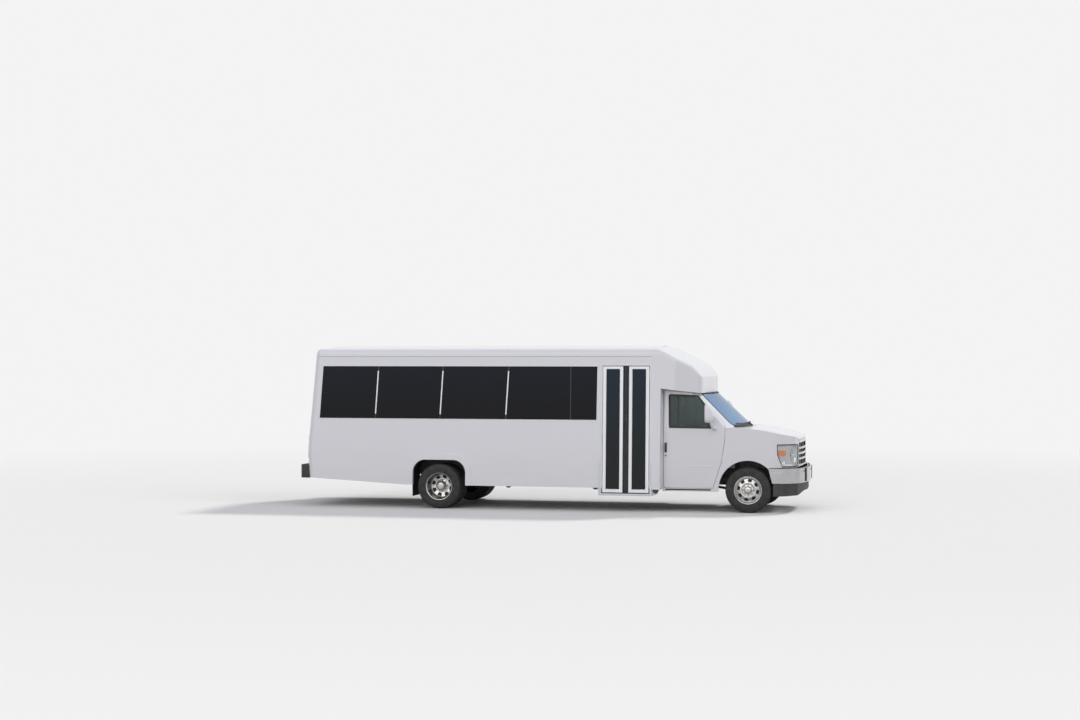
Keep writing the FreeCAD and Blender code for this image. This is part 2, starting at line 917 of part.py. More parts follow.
def bonnet_pads():
    """The two hinge pads under the bonnet's rear corners."""
    inside = nose_block(nose_wall + seat_gap)
    pads = []
    for side in (1, -1):
        y0, y1 = to_side(side, bonnet_half_width - 155, bonnet_half_width - 95)
        pad = box(cab_front_x - 30, screen_base_x - 55, y0, y1, cab_belt_z - 76, cab_belt_z + 34)
        pads.append(pad.common(inside))
    return pads


def well_space(side):
    """The round space that a front wheel turns in."""
    y0, y1 = to_side(side, well_inner_y, cab_half_width + 150)
    return lying(front_axle_x, y0, y1, tyre_radius, well_radius + well_wall + 1)


def make_cab_shell(wings):
    """The cab: pillars, floor, sills and cowl, without doors or screen."""
    cuts = [screen_opening(), above_cap_foot(), wings]
    door_skin = cab_side(0, cab_wall + panel_gap + 2)
    for side in (1, -1):
        y0, y1 = cab_reach(side)
        cuts.append(across(cab_door_rows(0), y0, y1).common(door_skin))
        cuts.append(well_space(side))
    under = cab_half_width - 220
    cuts.append(box(cab_back_x - past, nose_tip_x, -under, under, 0, rail_top_z))
    return joined([cab_skin.cut(cuts)] + door_hinge_blocks() + bonnet_pads())


def screen_opening():
    """The hole for the windscreen, seen from the front."""
    foot = cab_belt_z + 40
    head = cab_top_z - 100
    rows = [
        (45 - screen_side_y, foot, 60),
        (screen_side_y - 45, foot, 60),
        (screen_side_y - 100, head, 60),
        (100 - screen_side_y, head, 60),
    ]
    start = screen_base_x - 9 * past
    return plate(rows, seen_from_front(start), V(12 * past, 0, 0))


def make_windscreen():
    """The bowed windscreen in its opening."""
    set_back = 6.0
    pane_skin = cab_upper(set_back).cut(cab_upper(set_back + glass_thickness))
    return pane_skin.common(screen_opening()).cut(above_cap_foot())


# Nose: a plan outline crossed with a side outline, hollowed, then split

def nose_block(inset):
    """Wings and bonnet as one block, moved in by inset."""
    back = door_front_x - 340
    plan = mirrored_rows([
        (back - past, cab_half_width, 0),
        (front_axle_x + 400, cab_half_width, 420),
        (nose_tip_x - 75, cab_half_width - 240, 150),
        (nose_tip_x, 0, bow),
    ])
    side = [
        (back, low_z, 0),
        (nose_tip_x - 20, low_z, 0),
        (nose_tip_x, bonnet_lip_z - 112, 60),
        (nose_tip_x - 50, bonnet_lip_z + 53, 60),
        (front_axle_x + 290, cab_belt_z - 34, 600),
        (screen_base_x, cab_belt_z + 8, 0),
        (back, cab_belt_z + 20, 0),
    ]
    reach = cab_half_width + past
    return upright(plan, low_z + past, high_z, inset).common(across(side, -reach, reach, inset))


nose_outside = nose_block(0)
nose_skin = nose_outside.cut(nose_block(nose_wall))


def nose_front(half, foot, head):
    """A block over the nose's front, for what is let into it."""
    return box(nose_tip_x - 200, nose_tip_x + past, -half, half, foot, head)


def bonnet_rows(margin):
    """The bonnet seen from above."""
    half = bonnet_half_width - margin
    back = screen_base_x + 22 + margin
    return [
        (back - 150, half, 0),
        (nose_tip_x - 160, half - 95, 60),
        (nose_tip_x + past, half - 130, 0),
        (nose_tip_x + past, 130 - half, 0),
        (nose_tip_x - 160, 95 - half, 60),
        (back - 150, -half, 0),
        (back, 0, bow),
    ]


def make_bonnet():
    """The bonnet, hinged along its rear edge."""
    return nose_skin.common(upright(bonnet_rows(bonnet_gap), bonnet_lip_z + panel_gap, high_z))


def lamp_regions():
    """The wrap-round headlamps seen from the side, on both sides."""
    rows = [
        (front_axle_x + 468, bonnet_lip_z - 60, 25),
        (front_axle_x + 474, bumper_top_z + 214, 60),
        (front_axle_x + 545, bumper_top_z + 19, 20),
        (nose_tip_x + past, bumper_top_z + 16, 0),
        (nose_tip_x + past, bonnet_lip_z - 60, 0),
    ]
    return both(across(rows, grille_half + 12, cab_half_width + past))


def make_headlamps():
    """The two headlamps."""
    lamp_depth = 70.0
    thick = nose_outside.cut(nose_block(lamp_depth))
    return [thick.common(region) for region in lamp_regions()]


def make_wings(bumper):
    """Both front wings with their arches, joined by the panel over the grille."""
    reach = cab_half_width + past
    door = cab_door_rows(-1)
    back = door[1][0] - 9 * past
    behind = [
        (back, low_z, 0),
        (door[1][0], low_z, 0),
        (door[1][0], door[1][1] - 60, 0),
        door[2],
        door[3],
        door[4],
        (door[4][0] + 5, cab_belt_z + 234, 0),
        (back, cab_belt_z + 234, 0),
    ]
    below = [
        (door_front_x - 500, low_z, 0),
        (nose_tip_x + 200, low_z, 0),
        (nose_tip_x + 200, bumper_top_z + 8, 0),
        (front_axle_x + 340, bumper_top_z + 8, 0),
        (front_axle_x + 400, cab_foot_z + 6, 0),
        (door_front_x - 500, cab_foot_z + 6, 0),
    ]
    inner_y = cab_half_width - nose_wall
    cuts = lamp_regions() + [
        lying(front_axle_x, -reach, reach, tyre_radius, arch_radius),
        across(behind, -reach, reach),
        across(below, -reach, reach),
        upright(bonnet_rows(0), bonnet_lip_z, high_z),
        nose_front(grille_half, 0, bonnet_lip_z - 2),
        cab_upper(0),
        box(door_front_x - 20, cab_front_x, -inner_y, inner_y, 0, cab_belt_z),
        bumper,
    ]
    return nose_skin.cut(cuts)


# Grille: (depth of the face behind the nose, depth of the back, bar thickness, count)
grille_ring = 42.0
grille_depth = 55.0
cross_bars = {"face": 8.0, "back": 45.0, "thickness": 34.0, "count": 3}
uprights = {"face": 20.0, "back": 40.0, "thickness": 18.0, "count": 4}


def nose_layer(outer, inner):
    """The nose's skin between two depths."""
    return nose_block(outer).cut(nose_block(inner))


def make_grille():
    """The grille: a surround, cross bars and uprights, one behind the other."""
    head = bonnet_lip_z - 2
    half_in = grille_half - grille_ring
    foot_in = grille_foot_z + grille_ring
    head_in = head - grille_ring
    rim = nose_front(grille_half, grille_foot_z, head).cut(nose_front(half_in, foot_in, head_in))
    pieces = [nose_layer(0, grille_depth).common(rim)]
    skin = nose_layer(cross_bars["face"], cross_bars["back"])
    pitch = (head_in - foot_in) / (cross_bars["count"] + 1)
    for i in range(cross_bars["count"]):
        z = foot_in + (i + 1) * pitch
        half = cross_bars["thickness"] / 2
        pieces.append(skin.common(nose_front(half_in + 2, z - half, z + half)))
    skin = nose_layer(uprights["face"], uprights["back"])
    pitch = 2 * half_in / (uprights["count"] + 1)
    for i in range(uprights["count"]):
        y = (i + 1) * pitch - half_in
        half = uprights["thickness"] / 2
        post = box(nose_tip_x - 200, nose_tip_x, y - half, y + half, foot_in - 2, head_in + 2)
        pieces.append(skin.common(post))
    return joined(pieces)


# Bumpers

def make_front_bumper():
    """The chrome bumper: a wrap-round bar with a stepped face, on two arms."""
    tip = overall_length / 2
    plan = mirrored_rows([
        (front_axle_x + 335, bumper_half_width, 0),
        (front_axle_x + 620, bumper_half_width, 230),
        (tip - 95, bumper_half_width - 185, 150),
        (tip, 0, bow),
    ])
    foot = bumper_foot_z
    head = bumper_top_z
    reach = bumper_half_width + past
    inner_y = bumper_half_width - bumper_wall
    hollow = upright(plan, foot - 10, head + 10, bumper_wall)
    hollow = hollow.fuse(box(front_axle_x + 200, front_axle_x + 480, -inner_y, inner_y,
                             foot - 10, head + 10))
    step_height = 14.0
    step_depth_in = 12.0
    step_z = head - 62
    step = upright(plan, step_z, step_z + step_height)
    step = step.cut(upright(plan, step_z, step_z + step_height, step_depth_in))
    ends = [
        (front_axle_x + 300, foot - past, 0),
        (front_axle_x + 392, foot, 0),
        (front_axle_x + 330, head, 0),
        (front_axle_x + 330, head + past, 0),
        (front_axle_x - 300, head + past, 0),
        (front_axle_x - 300, foot - past, 0),
    ]
    pieces = [upright(plan, foot, head).cut([hollow, step, across(ends, -reach, reach)])]
    for side in (1, -1):
        y0, y1 = to_side(side, rail_half_gap, rail_outer_y)
        arm = box(frame_front_x, frame_front_x + 240, y0, y1, rail_bottom_z + 40, rail_top_z - 40)
        pieces.append(arm.common(hollow))
    return joined(pieces)


def make_valance():
    """The dark lower valance under the bumper."""
    tip = overall_length / 2
    half = bumper_half_width - 15
    back = front_axle_x + 405
    plan = mirrored_rows([
        (back, half, 0),
        (front_axle_x + 610, half, 210),
        (tip - 125, half - 190, 140),
        (tip - 45, 0, bow),
    ])
    hollow = upright(plan, 0, bumper_top_z, valance_wall)
    under = [
        (front_axle_x, 0, 0),
        (tip + past, 0, 0),
        (tip + past, bumper_foot_z - 15, 0),
        (tip - 20, bumper_foot_z - 85, 0),
        (tip - 130, valance_foot_z + 16, 0),
        (back, valance_foot_z, 0),
        (front_axle_x, valance_foot_z, 0),
    ]
    tail = box(front_axle_x, back + 10, 45 - half, half - 45, 0, bumper_top_z)
    ring = upright(plan, valance_foot_z, bumper_foot_z)
    return ring.cut([hollow, across(under, -half, half), tail])


def make_rear_bumper():
    """The rear bumper: a folded step with turned-in ends, on two brackets."""
    back = -overall_length / 2
    plan = mirrored_rows([
        (rear_wall_x + 33, rear_bumper_half, 0),
        (back + 40, rear_bumper_half, 35),
        (back, rear_bumper_half - 65, 60),
    ])
    shell = upright(plan, rear_bumper_foot_z, rear_bumper_top_z)
    hollow = upright(plan, 0, rear_bumper_top_z - 12, rear_bumper_wall)
    pieces = [shell.cut(hollow)]
    for side in (1, -1):
        y0, y1 = to_side(side, rail_half_gap, rail_outer_y)
        pieces.append(box(rear_wall_x - 122, rear_wall_x + 50, y0, y1, rail_bottom_z + 20,
                          rear_bumper_top_z - 11))
    return joined(pieces).cut(body_outside)


# Wheels

def tyre(x, y):
    """A tyre: rounded shoulders, bulged sides and an open bore."""
    half = tyre_width / 2
    side_rows = [
        (half - bead_inset, rim_radius),
        (half - 2, rim_radius + 40),
        (half, rim_radius + 70),
        (half - 10, tyre_radius - 22),
        (half - 42, tyre_radius),
    ]
    rows = side_rows + [(-along, radius) for along, radius in reversed(side_rows)]
    return turned_flats(rows, V(x, y, tyre_radius), V(0, 1, 0), wheel_flats)


def hand_holes(centre, axis, start, end, ring_radius):
    """The ring of holes through a wheel's disc."""
    profile = [(start, 0), (start, hand_hole_radius), (end, hand_hole_radius), (end, 0)]
    holes = []
    for k in range(hand_hole_count):
        angle = 2 * math.pi * (k + 0.5) / hand_hole_count
        spoke = V(ring_radius * math.cos(angle), 0, ring_radius * math.sin(angle))
        holes.append(turned_flats(profile, centre + spoke, axis, hand_hole_flats))
    return holes


def front_rim(side):
    """A front rim with its domed cover and hub, bored for the spindle."""
    half = tyre_width / 2
    bed = rim_radius - seat_gap
    barrel_in = rim_radius - rim_barrel
    rows = [
        (bead_inset - half, bed),
        (bead_inset - half, barrel_in),
        (32, barrel_in),
        (38, 110),
        (-10, 95),
        (-10, 0),
        (118, 0),
        (118, 42),
        (76, 56),
        (64, 110),
        (70, 165),
        (52, 196),
        (half - 18, rim_radius + 6),
        (half - bead_inset, bed),
    ]
    centre = V(front_axle_x, side * front_wheel_y, tyre_radius)
    axis = V(0, side, 0)
    rim = turned_flats(rows, centre, axis, wheel_flats)
    bore = Part.makeCylinder(spindle_radius + running_clearance, 85, centre - axis * 10, axis)
    return rim.cut([bore] + hand_holes(centre, axis, 20, half, 150))


def rear_rims(side):
    """Both rims of a rear pair with their shared hub: the outer one is a deep dish."""
    half = tyre_width / 2
    shift = dual_spacing / 2
    bed = rim_radius - seat_gap
    barrel_in = rim_radius - rim_barrel
    rows = [
        (bead_inset - shift - half, bed),
        (bead_inset - shift - half, barrel_in),
        (-40, barrel_in - 4),
        (-14, 170),
        (-14, 95),
        (-90, 95),
        (-90, 0),
        (132, 0),
        (132, 54),
        (30, 72),
        (14, 110),
        (14, 170),
        (40, barrel_in - 4),
        (shift + half - 34, barrel_in),
        (shift + half - 18, rim_radius + 6),
        (shift + half - bead_inset, bed),
        (shift - half + bead_inset, bed),
        (shift - half + bead_inset, barrel_in + 6),
        (half - shift - bead_inset, barrel_in + 6),
        (half - shift - bead_inset, bed),
    ]
    centre = V(rear_axle_x, side * rear_wheel_y, tyre_radius)
    axis = V(0, side, 0)
    rims = turned_flats(rows, centre, axis, wheel_flats)
    bore = Part.makeCylinder(axle_tube_radius + running_clearance, 170, centre - axis * 90, axis)
    return rims.cut([bore] + hand_holes(centre, axis, -40, 40, 140))


# Axles and steering

def make_front_axle():
    """The dropped front beam, its eyes, springs and radius arms back to the frame."""
    x = front_axle_x
    z = tyre_radius
    drop = z - 110
    middle = rail_outer_y + 40
    pieces = [box(x - 34, x + 34, -middle, middle, drop, z - 40)]
    rails = []
    holes = []
    for side in (1, -1):
        eye = V(x, side * kingpin_y, z - eye_half)
        pieces.append(flat_rod(eye, eye + V(0, 0, 2 * eye_half), eye_radius, 24))
        holes.append(Part.makeCylinder(kingpin_radius + running_clearance, 4 * eye_half,
                                       eye - V(0, 0, eye_half)))
        y0, y1 = to_side(side, rail_outer_y + 130, kingpin_y)
        pieces.append(box(x - 26, x + 26, y0, y1, z - 30, z + 30))
        y0, y1 = to_side(side, rail_outer_y + 25, rail_outer_y + 145)
        pieces.append(box(x - 32, x + 32, y0, y1, drop, z + 30))
        spring = V(x, side * (rail_outer_y + 50), z + 25)
        pieces.append(flat_rod(spring, spring + V(0, 0, rail_bottom_z + 35 - z), spring_radius))
        arm_end = V(x - 760, side * (rail_half_gap + 35), z + 40)
        pieces.append(flat_rod(V(x, side * (rail_outer_y + 70), z - 70), arm_end, 22))
        y0, y1 = to_side(side, rail_half_gap + 5, rail_outer_y)
        pieces.append(box(arm_end.x - 30, arm_end.x + 30, y0, y1, arm_end.z - 30, rail_bottom_z))
        y0, y1 = to_side(side, rail_half_gap, rail_outer_y)
        rails.append(box(x - 900, x + 900, y0, y1, rail_bottom_z, rail_top_z))
    return joined(pieces).cut(holes + rails)


def make_knuckle(side):
    """A steering knuckle: a yoke round the beam's eye, its kingpin and its spindle."""
    x = front_axle_x
    z = tyre_radius
    y = side * kingpin_y
    lug = 26.0
    lug_radius = 30.0
    gap = 1.0
    reach = eye_half + gap + lug
    back_y = side * (kingpin_y + eye_radius + 6)
    pieces = [Part.makeCylinder(kingpin_radius, 2 * reach, V(x, y, z - reach))]
    y0, y1 = sorted((y, back_y))
    for low in (z + eye_half + gap, z - reach):
        pieces.append(flat_rod(V(x, y, low), V(x, y, low + lug), lug_radius))
        pieces.append(box(x - lug_radius, x + lug_radius, y0, y1, low, low + lug))
    y0, y1 = sorted((back_y, back_y + side * 24))
    pieces.append(box(x - 45, x + 45, y0, y1, z - reach, z + reach))
    pieces.append(rod(V(x, back_y, z), V(x, side * (front_wheel_y + 73), z), spindle_radius))
    y0, y1 = sorted((y - side * 40, y + side * 10))
    pieces.append(box(x - 150, x - 20, y0, y1, z - reach - 18, z - reach))
    return joined(pieces)


def make_rear_axle():
    """The live rear axle with its leaf springs, hung from the frame."""
    x = rear_axle_x
    z = tyre_radius
    reach = rear_wheel_y + 78
    hub_y = rear_wheel_y - 95
    housing = [(-120, 0), (-120, 80), (-70, 140), (70, 140), (120, 80), (120, 0)]
    pieces = [
        flat_rod(V(x, -hub_y, z), V(x, hub_y, z), axle_tube_radius),
        lying(x, -reach, -hub_y, z, axle_tube_radius),
        lying(x, hub_y, reach, z, axle_tube_radius),
        turned_flats(housing, V(x, 0, z), V(0, 1, 0), 20),
        flat_rod(V(x, 0, z), V(x + 238, 0, z + 30), 55),
    ]
    spring_end = 780.0
    eye_z = 505.0
    leaf_rows = [
        (x - spring_end, eye_z, 0),
        (x - 300, eye_z - 53, 0),
        (x, eye_z - 90, 0),
        (x + 300, eye_z - 53, 0),
        (x + spring_end, eye_z, 0),
        (x + spring_end, eye_z + 15, 0),
        (x + 300, eye_z - 23, 0),
        (x, eye_z - 27, 0),
        (x - 300, eye_z - 23, 0),
        (x - spring_end, eye_z + 15, 0),
    ]
    for side in (1, -1):
        y0, y1 = to_side(side, rail_outer_y + 40, rail_outer_y + 115)
        pieces.append(across(leaf_rows, y0, y1))
        pieces.append(box(x - 60, x + 60, y0 - 8, y1 + 8, z - 60, eye_z - 5))
        y0, y1 = to_side(side, rail_outer_y, rail_outer_y + 115)
        for end in (x - 760, x + 760):
            pieces.append(box(end - 30, end + 30, y0, y1, eye_z - 5, rail_top_z - 80))
    return joined(pieces)


# Chassis

def make_frame():
    """The ladder frame: two channel rails and their cross members."""
    start = rear_wall_x + 50
    end = frame_front_x
    inner = rail_outer_y - rail_wall
    pieces = []
    for side in (1, -1):
        y0, y1 = to_side(side, rail_half_gap, rail_outer_y)
        rail = box(start, end, y0, y1, rail_bottom_z, rail_top_z)
        y0, y1 = to_side(side, rail_half_gap - 5, inner)
        pieces.append(rail.cut(box(start - 5, end + 5, y0, y1, rail_bottom_z + rail_wall,
                                   rail_top_z - rail_wall)))
    for x in (start + 160, rear_axle_x - 900, rear_axle_x + 900, front_axle_x - 2500,
              front_axle_x - 1500, end - 60):
        pieces.append(box(x - 40, x + 40, -inner, inner, rail_bottom_z + 20, rail_top_z - 20))
    return joined(pieces).cut(body_shell)


def make_powertrain(rear_axle):
    """The engine and gearbox as plain blocks, with the drive shaft."""
    back = front_axle_x - 262
    engine_half = 300.0
    gearbox_z = 480.0
    pieces = [
        box(back, back + 592, -engine_half, engine_half, rail_bottom_z, rail_bottom_z + 440),
        flat_rod(V(back - 900, 0, gearbox_z), V(back + 20, 0, gearbox_z + 60), 100),
        flat_rod(V(rear_axle_x + 238, 0, tyre_radius + 30), V(back - 880, 0, gearbox_z), 40),
    ]
    for side in (1, -1):
        y0, y1 = to_side(side, engine_half, rail_half_gap)
        pieces.append(box(back + 282, back + 362, y0, y1, rail_bottom_z + 40, rail_bottom_z + 120))
    return joined(pieces).cut(rear_axle)


def make_fuel_tank():
    """The fuel tank on the right of the frame, with its hanger straps."""
    x0 = rear_axle_x + 1350
    length = 1050.0
    y0 = -rail_outer_y - 520
    y1 = -rail_outer_y - 25
    foot = rail_bottom_z - 50
    head = rail_top_z - 10
    rows = [(y0, foot, 60), (y1, foot, 60), (y1, head, 60), (y0, head, 60)]
    pieces = [plate(rows, seen_from_front(x0), V(length, 0, 0))]
    for x in (x0 + 200, x0 + length - 260):
        pieces.append(box(x, x + 60, y0 - 4, -rail_outer_y, head, rail_top_z))
        pieces.append(box(x, x + 60, y1 - 4, -rail_outer_y, rail_bottom_z + 40, rail_top_z))
    return joined(pieces)


def make_exhaust():
    """The exhaust: pipe, silencer and hangers along the left of the frame."""
    y = rail_outer_y + 95
    z = 430.0
    pipe_radius = 32.0
    silencer_radius = 95.0
    x = front_axle_x
    route = [
        V(x - 480, 230, 560),
        V(x - 900, 230, 560),
        V(x - 1300, 230, z),
        V(x - 1600, y, z),
        V(x - 2000, y, z),
    ]
    pieces = [flat_rod(start, end, pipe_radius) for start, end in zip(route, route[1:])]
    bend = 0.7 * pipe_radius
    ball = [(-pipe_radius, 0), (-bend, bend), (0, pipe_radius), (bend, bend), (pipe_radius, 0)]
    for corner in route[1:-1]:
        pieces.append(turned_flats(ball, corner, V(0, 0, 1), 16))
    pieces.append(flat_rod(V(x - 3000, y, z), V(x - 2000, y, z), silencer_radius, 24))
    for hanger_x in (x - 2900, x - 2100):
        pieces.append(box(hanger_x, hanger_x + 40, rail_outer_y, y, z + 60, z + 150))
    return joined(pieces)


# Wheel arches and flaps

def make_wheel_wells(bumper):
    """The dark liners over the four wheels."""
    room = nose_block(nose_wall + 2).fuse(cab_block(cab_wall + 2))
    wells = []
    for side in (1, -1):
        y0, y1 = to_side(side, well_inner_y, cab_half_width - nose_wall - 2)
        tub = lying(front_axle_x, y0, y1, tyre_radius, well_radius + well_wall)
        tub = tub.cut(lying(front_axle_x, y0, y1, tyre_radius, well_radius))
        upper = box(front_axle_x - 700, front_axle_x + 700, y0, y1, well_foot_z, high_z)
        wells.append(tub.common(upper).common(room).cut(bumper))
    low = box(rear_axle_x - 700, rear_axle_x + 700, -body_half_width, body_half_width, -10,
              rear_well_foot_z)
    for side in (1, -1):
        y0, y1 = rear_well_reach(side)
        shell = across(rear_arch_rows(rear_well_margin), y0, y1)
        inner_y = min(abs(y0), abs(y1)) + rear_well_wall - 1
        y0, y1 = to_side(side, inner_y, body_half_width + past)
        hollow = across(rear_arch_rows(rear_well_margin - rear_well_wall), y0, y1)
        wells.append(shell.cut([hollow, low, body_shell]))
    return wells


def make_mud_flaps():
    """The flaps behind the rear wheels."""
    x = rear_axle_x - arch_half - rear_well_margin + rear_well_wall
    return both(box(x, x + 12, rear_wheel_y - 243, body_half_width - 85, 197,
                    rear_well_foot_z + 35))


# Fittings

def make_mirror(side):
    """A door mirror: its arm and its housing."""
    x0 = front_axle_x - 656
    x1 = front_axle_x - 512
    inner = side * (cab_half_width + 130)
    outer = side * (cab_half_width + 330)
    rows = [(x0, inner, 30), (x1 - 40, inner, 40), (x1, (inner + outer) / 2, 60),
            (x1 - 40, outer, 40), (x0, outer, 30)]
    housing = upright(rows, cab_belt_z + 98, cab_belt_z + 406)
    elbow = V(x1 - 60, side * (cab_half_width + 190), cab_belt_z + 34)
    arm_radius = 26.0
    foot = V(x1 - 20, side * (cab_half_width - 10), cab_belt_z - 21)
    arm = flat_rod(foot, elbow, arm_radius)
    post = flat_rod(elbow - V(0, 0, arm_radius), elbow + V(0, 0, past), arm_radius)
    return joined([housing, arm, post]).cut(cab_outside)


def seat(x, side, inner, outer, floor_z, height):
    """One seat: cushion, raked back and pedestal in one closed solid."""
    y0, y1 = to_side(side, inner, outer)
    top = floor_z + height
    rows = [
        (x, top - 110, 0),
        (x, top - 22, 0),
        (x - 26, top, 0),
        (x - seat_depth + 40, top - 20, 0),
        (x - seat_depth - 86, top + back_height - 20, 0),
        (x - seat_depth - 112, top + back_height, 0),
        (x - seat_depth - 170, top + back_height, 0),
        (x - seat_depth - 190, top + back_height - 22, 0),
        (x - seat_depth - 60, top - 120, 0),
    ]
    p0, p1 = to_side(side, inner + 50, inner + 250)
    pedestal = box(x - seat_depth + 60, x - 70, p0, p1, floor_z, top - 50)
    return joined([across(rows, y0, y1), pedestal])


# Rows of cabin benches: (side, how many)
bench_table = [(-1, 6), (1, 7)]


def make_seats():
    """The benches of the cabin and the two cab seats."""
    wall_y = body_half(floor_top_z + seat_height + back_height) - body_wall - 20
    first = rear_wall_x + body_wall + 900
    seats = []
    for side, count in bench_table:
        for i in range(count):
            seats.append(seat(first + i * seat_pitch, side, wall_y - 2 * seat_place, wall_y,
                              floor_top_z, seat_height))
    for side in (1, -1):
        seats.append(seat(front_axle_x - 800, side, cab_half_width - 620, cab_half_width - 140,
                          cab_floor_z, cab_seat_height))
    return seats


def make_dashboard():
    """The dashboard with its steering column and wheel."""
    x = door_front_x
    half = cab_half_width - 100
    rows = [
        (x + 57, cab_belt_z - 406, 0),
        (x + 57, cab_belt_z - 66, 0),
        (x - 63, cab_belt_z - 46, 40),
        (x - 193, cab_belt_z - 126, 50),
        (x - 203, cab_belt_z - 286, 0),
        (x - 123, cab_belt_z - 406, 0),
    ]
    centre = V(x - 303, cab_half_width - 400, cab_belt_z - 76)
    axis = V(-0.8, 0, 0.6)
    wheel_radius = 190.0
    grip = 15.0
    ring = []
    for k in range(6):
        angle = math.radians(60 * k + 30)
        ring.append((grip * math.cos(angle), wheel_radius + grip * math.sin(angle)))
    spoke = V(0, wheel_radius - 5, 0)
    pieces = [
        across(rows, -half, half),
        flat_rod(centre - axis * 190, centre, 26),
        turned_flats(ring, centre, axis, 32),
        flat_rod(centre - spoke, centre + spoke, 11, 8),
    ]
    return joined(pieces).cut(cab_skin)


# Tail lamps: (height above the ground of the foot, height of the lens)
tail_lamp_table = [(820.0, 110.0), (960.0, 110.0), (1100.0, 90.0)]


def make_tail_lamps():
    """The tail lamps, raised from the rear wall on both sides."""
    raised = 16.0
    top_x = rear_face_x(high_z) - raised
    front_x = rear_wall_x + 4 * past
    layer_rows = [
        (top_x, high_z, 0),
        (rear_wall_x - raised, rear_bow_z, rear_bow_radius),
        (rear_wall_x + rear_foot_lean - raised, skirt_rear_z, 0),
        (front_x, skirt_rear_z, 0),
        (front_x, high_z, 0),
    ]
    layer = across(layer_rows, -body_half_width, body_half_width).cut(body_outside)
    lamps = []
    for z, height in tail_lamp_table:
        lens = box(rear_wall_x - 60, rear_wall_x + 140, body_half_width - 290,
                   body_half_width - 150, z, z + height)
        lamps += both(lens.common(layer))
    return lamps


def make_grab_rails():
    """The rails and the low panel behind the entry."""
    x = entry_front_x - entry_width - 40
    y = body_wall + 430 - body_half(window_head_z)
    bar_z = window_sill_z + 213
    rail_radius = 16.0
    pieces = [
        flat_rod(V(x, y, floor_top_z), V(x, y, roof_top_z - 55), rail_radius),
        flat_rod(V(x, y, bar_z), V(x, 20 - body_half(bar_z), bar_z), rail_radius),
        box(x - 8, x + 8, body_wall + 8 - body_half(bar_z), y, floor_top_z + 150, bar_z - 50),
    ]
    return joined(pieces).common(body_inside)


# All nodes

def add_running_gear(nodes):
    """Adds the chassis, axles and wheels."""
    rear_axle = make_rear_axle()
    nodes["frame"] = make_frame()
    nodes["front_axle"] = make_front_axle()
    nodes["rear_axle"] = rear_axle
    nodes["powertrain"] = make_powertrain(rear_axle)
    nodes["fuel_tank"] = make_fuel_tank()
    nodes["exhaust"] = make_exhaust()
    for side, name in ((-1, "right"), (1, "left")):
        nodes["knuckle_" + name] = make_knuckle(side)
        nodes["front_tyre_" + name] = tyre(front_axle_x, side * front_wheel_y)
        nodes["front_rim_" + name] = front_rim(side)
        inner = side * (rear_wheel_y - dual_spacing / 2)
        outer = side * (rear_wheel_y + dual_spacing / 2)
        nodes["rear_tyres_" + name] = [tyre(rear_axle_x, inner), tyre(rear_axle_x, outer)]
        nodes["rear_rims_" + name] = rear_rims(side)


def add_body(nodes):
    """Adds the passenger body with its entry and rear doors."""
    nodes["front_cap"] = make_front_cap()
    nodes["floor"] = make_floor(nodes["front_cap"])
    nodes["roof"] = make_roof()
    nodes["left_wall"] = side_wall(left_joints, 1)
    nodes["side_windows"] = side_glass(right_joints, -1) + side_glass(left_joints, 1)
    nodes["rear_wall"], nodes["rear_door"], nodes["rear_door_glass"] = make_rear_end()
    y0, y1 = side_reach(-1)
    doorway = box(entry_front_x - entry_width, entry_front_x, y0, y1, 0, entry_head_z)
    right = [side_wall(right_joints, -1).cut(doorway)]
    for front, name in ((True, "front"), (False, "rear")):
        leaf, glazing, fixed = make_entry_leaf(front)
        nodes["entry_leaf_" + name] = leaf
        nodes["entry_glazing_" + name] = glazing
        right += fixed
    nodes["right_wall"] = joined(right)
    nodes["entry_step"] = make_entry_step(nodes["right_wall"])


def add_cab(nodes):
    """Adds the cab, the nose and what is let into them."""
    bumper = make_front_bumper()
    wings = make_wings(bumper)
    nodes["front_bumper"] = bumper
    nodes["front_wings"] = wings
    nodes["cab_shell"] = make_cab_shell(wings)
    nodes["windscreen"] = make_windscreen()
    nodes["bonnet"] = make_bonnet()
    nodes["grille"] = make_grille()
    nodes["headlamps"] = make_headlamps()
    nodes["valance"] = make_valance()
    nodes["wheel_wells"] = make_wheel_wells(bumper)
    nodes["dashboard"] = make_dashboard()
    for side, name in ((-1, "right"), (1, "left")):
        door, pane = make_cab_door(side)
        nodes["cab_door_" + name] = door
        nodes["cab_door_glass_" + name] = pane
        nodes["mirror_" + name] = make_mirror(side)


def build():
    """Every node's name and shape."""
    nodes = {}
    add_running_gear(nodes)
    add_body(nodes)
    add_cab(nodes)
    nodes["rear_bumper"] = make_rear_bumper()
    nodes["mud_flaps"] = make_mud_flaps()
    nodes["seats"] = make_seats()
    nodes["tail_lamps"] = make_tail_lamps()
    nodes["grab_rails"] = make_grab_rails()
    return nodes


os.makedirs("parts", exist_ok=True)
for name, shape in build().items():
    solids = solids_of(shape)
    Part.makeCompound(solids).exportStep("parts/" + name + ".step")
    volume = sum(solid.Volume for solid in solids) / 1e6
    print(name, len(solids), "solids", round(volume, 2), "litres")
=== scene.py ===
# %% [markdown]
# A cutaway minibus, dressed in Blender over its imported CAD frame.
# Every piece below is a surface worked out with numpy, in metres, in the frame's own
# coordinates: X forward, Y to the left, Z up, the ground at z = 0.

import json
import math

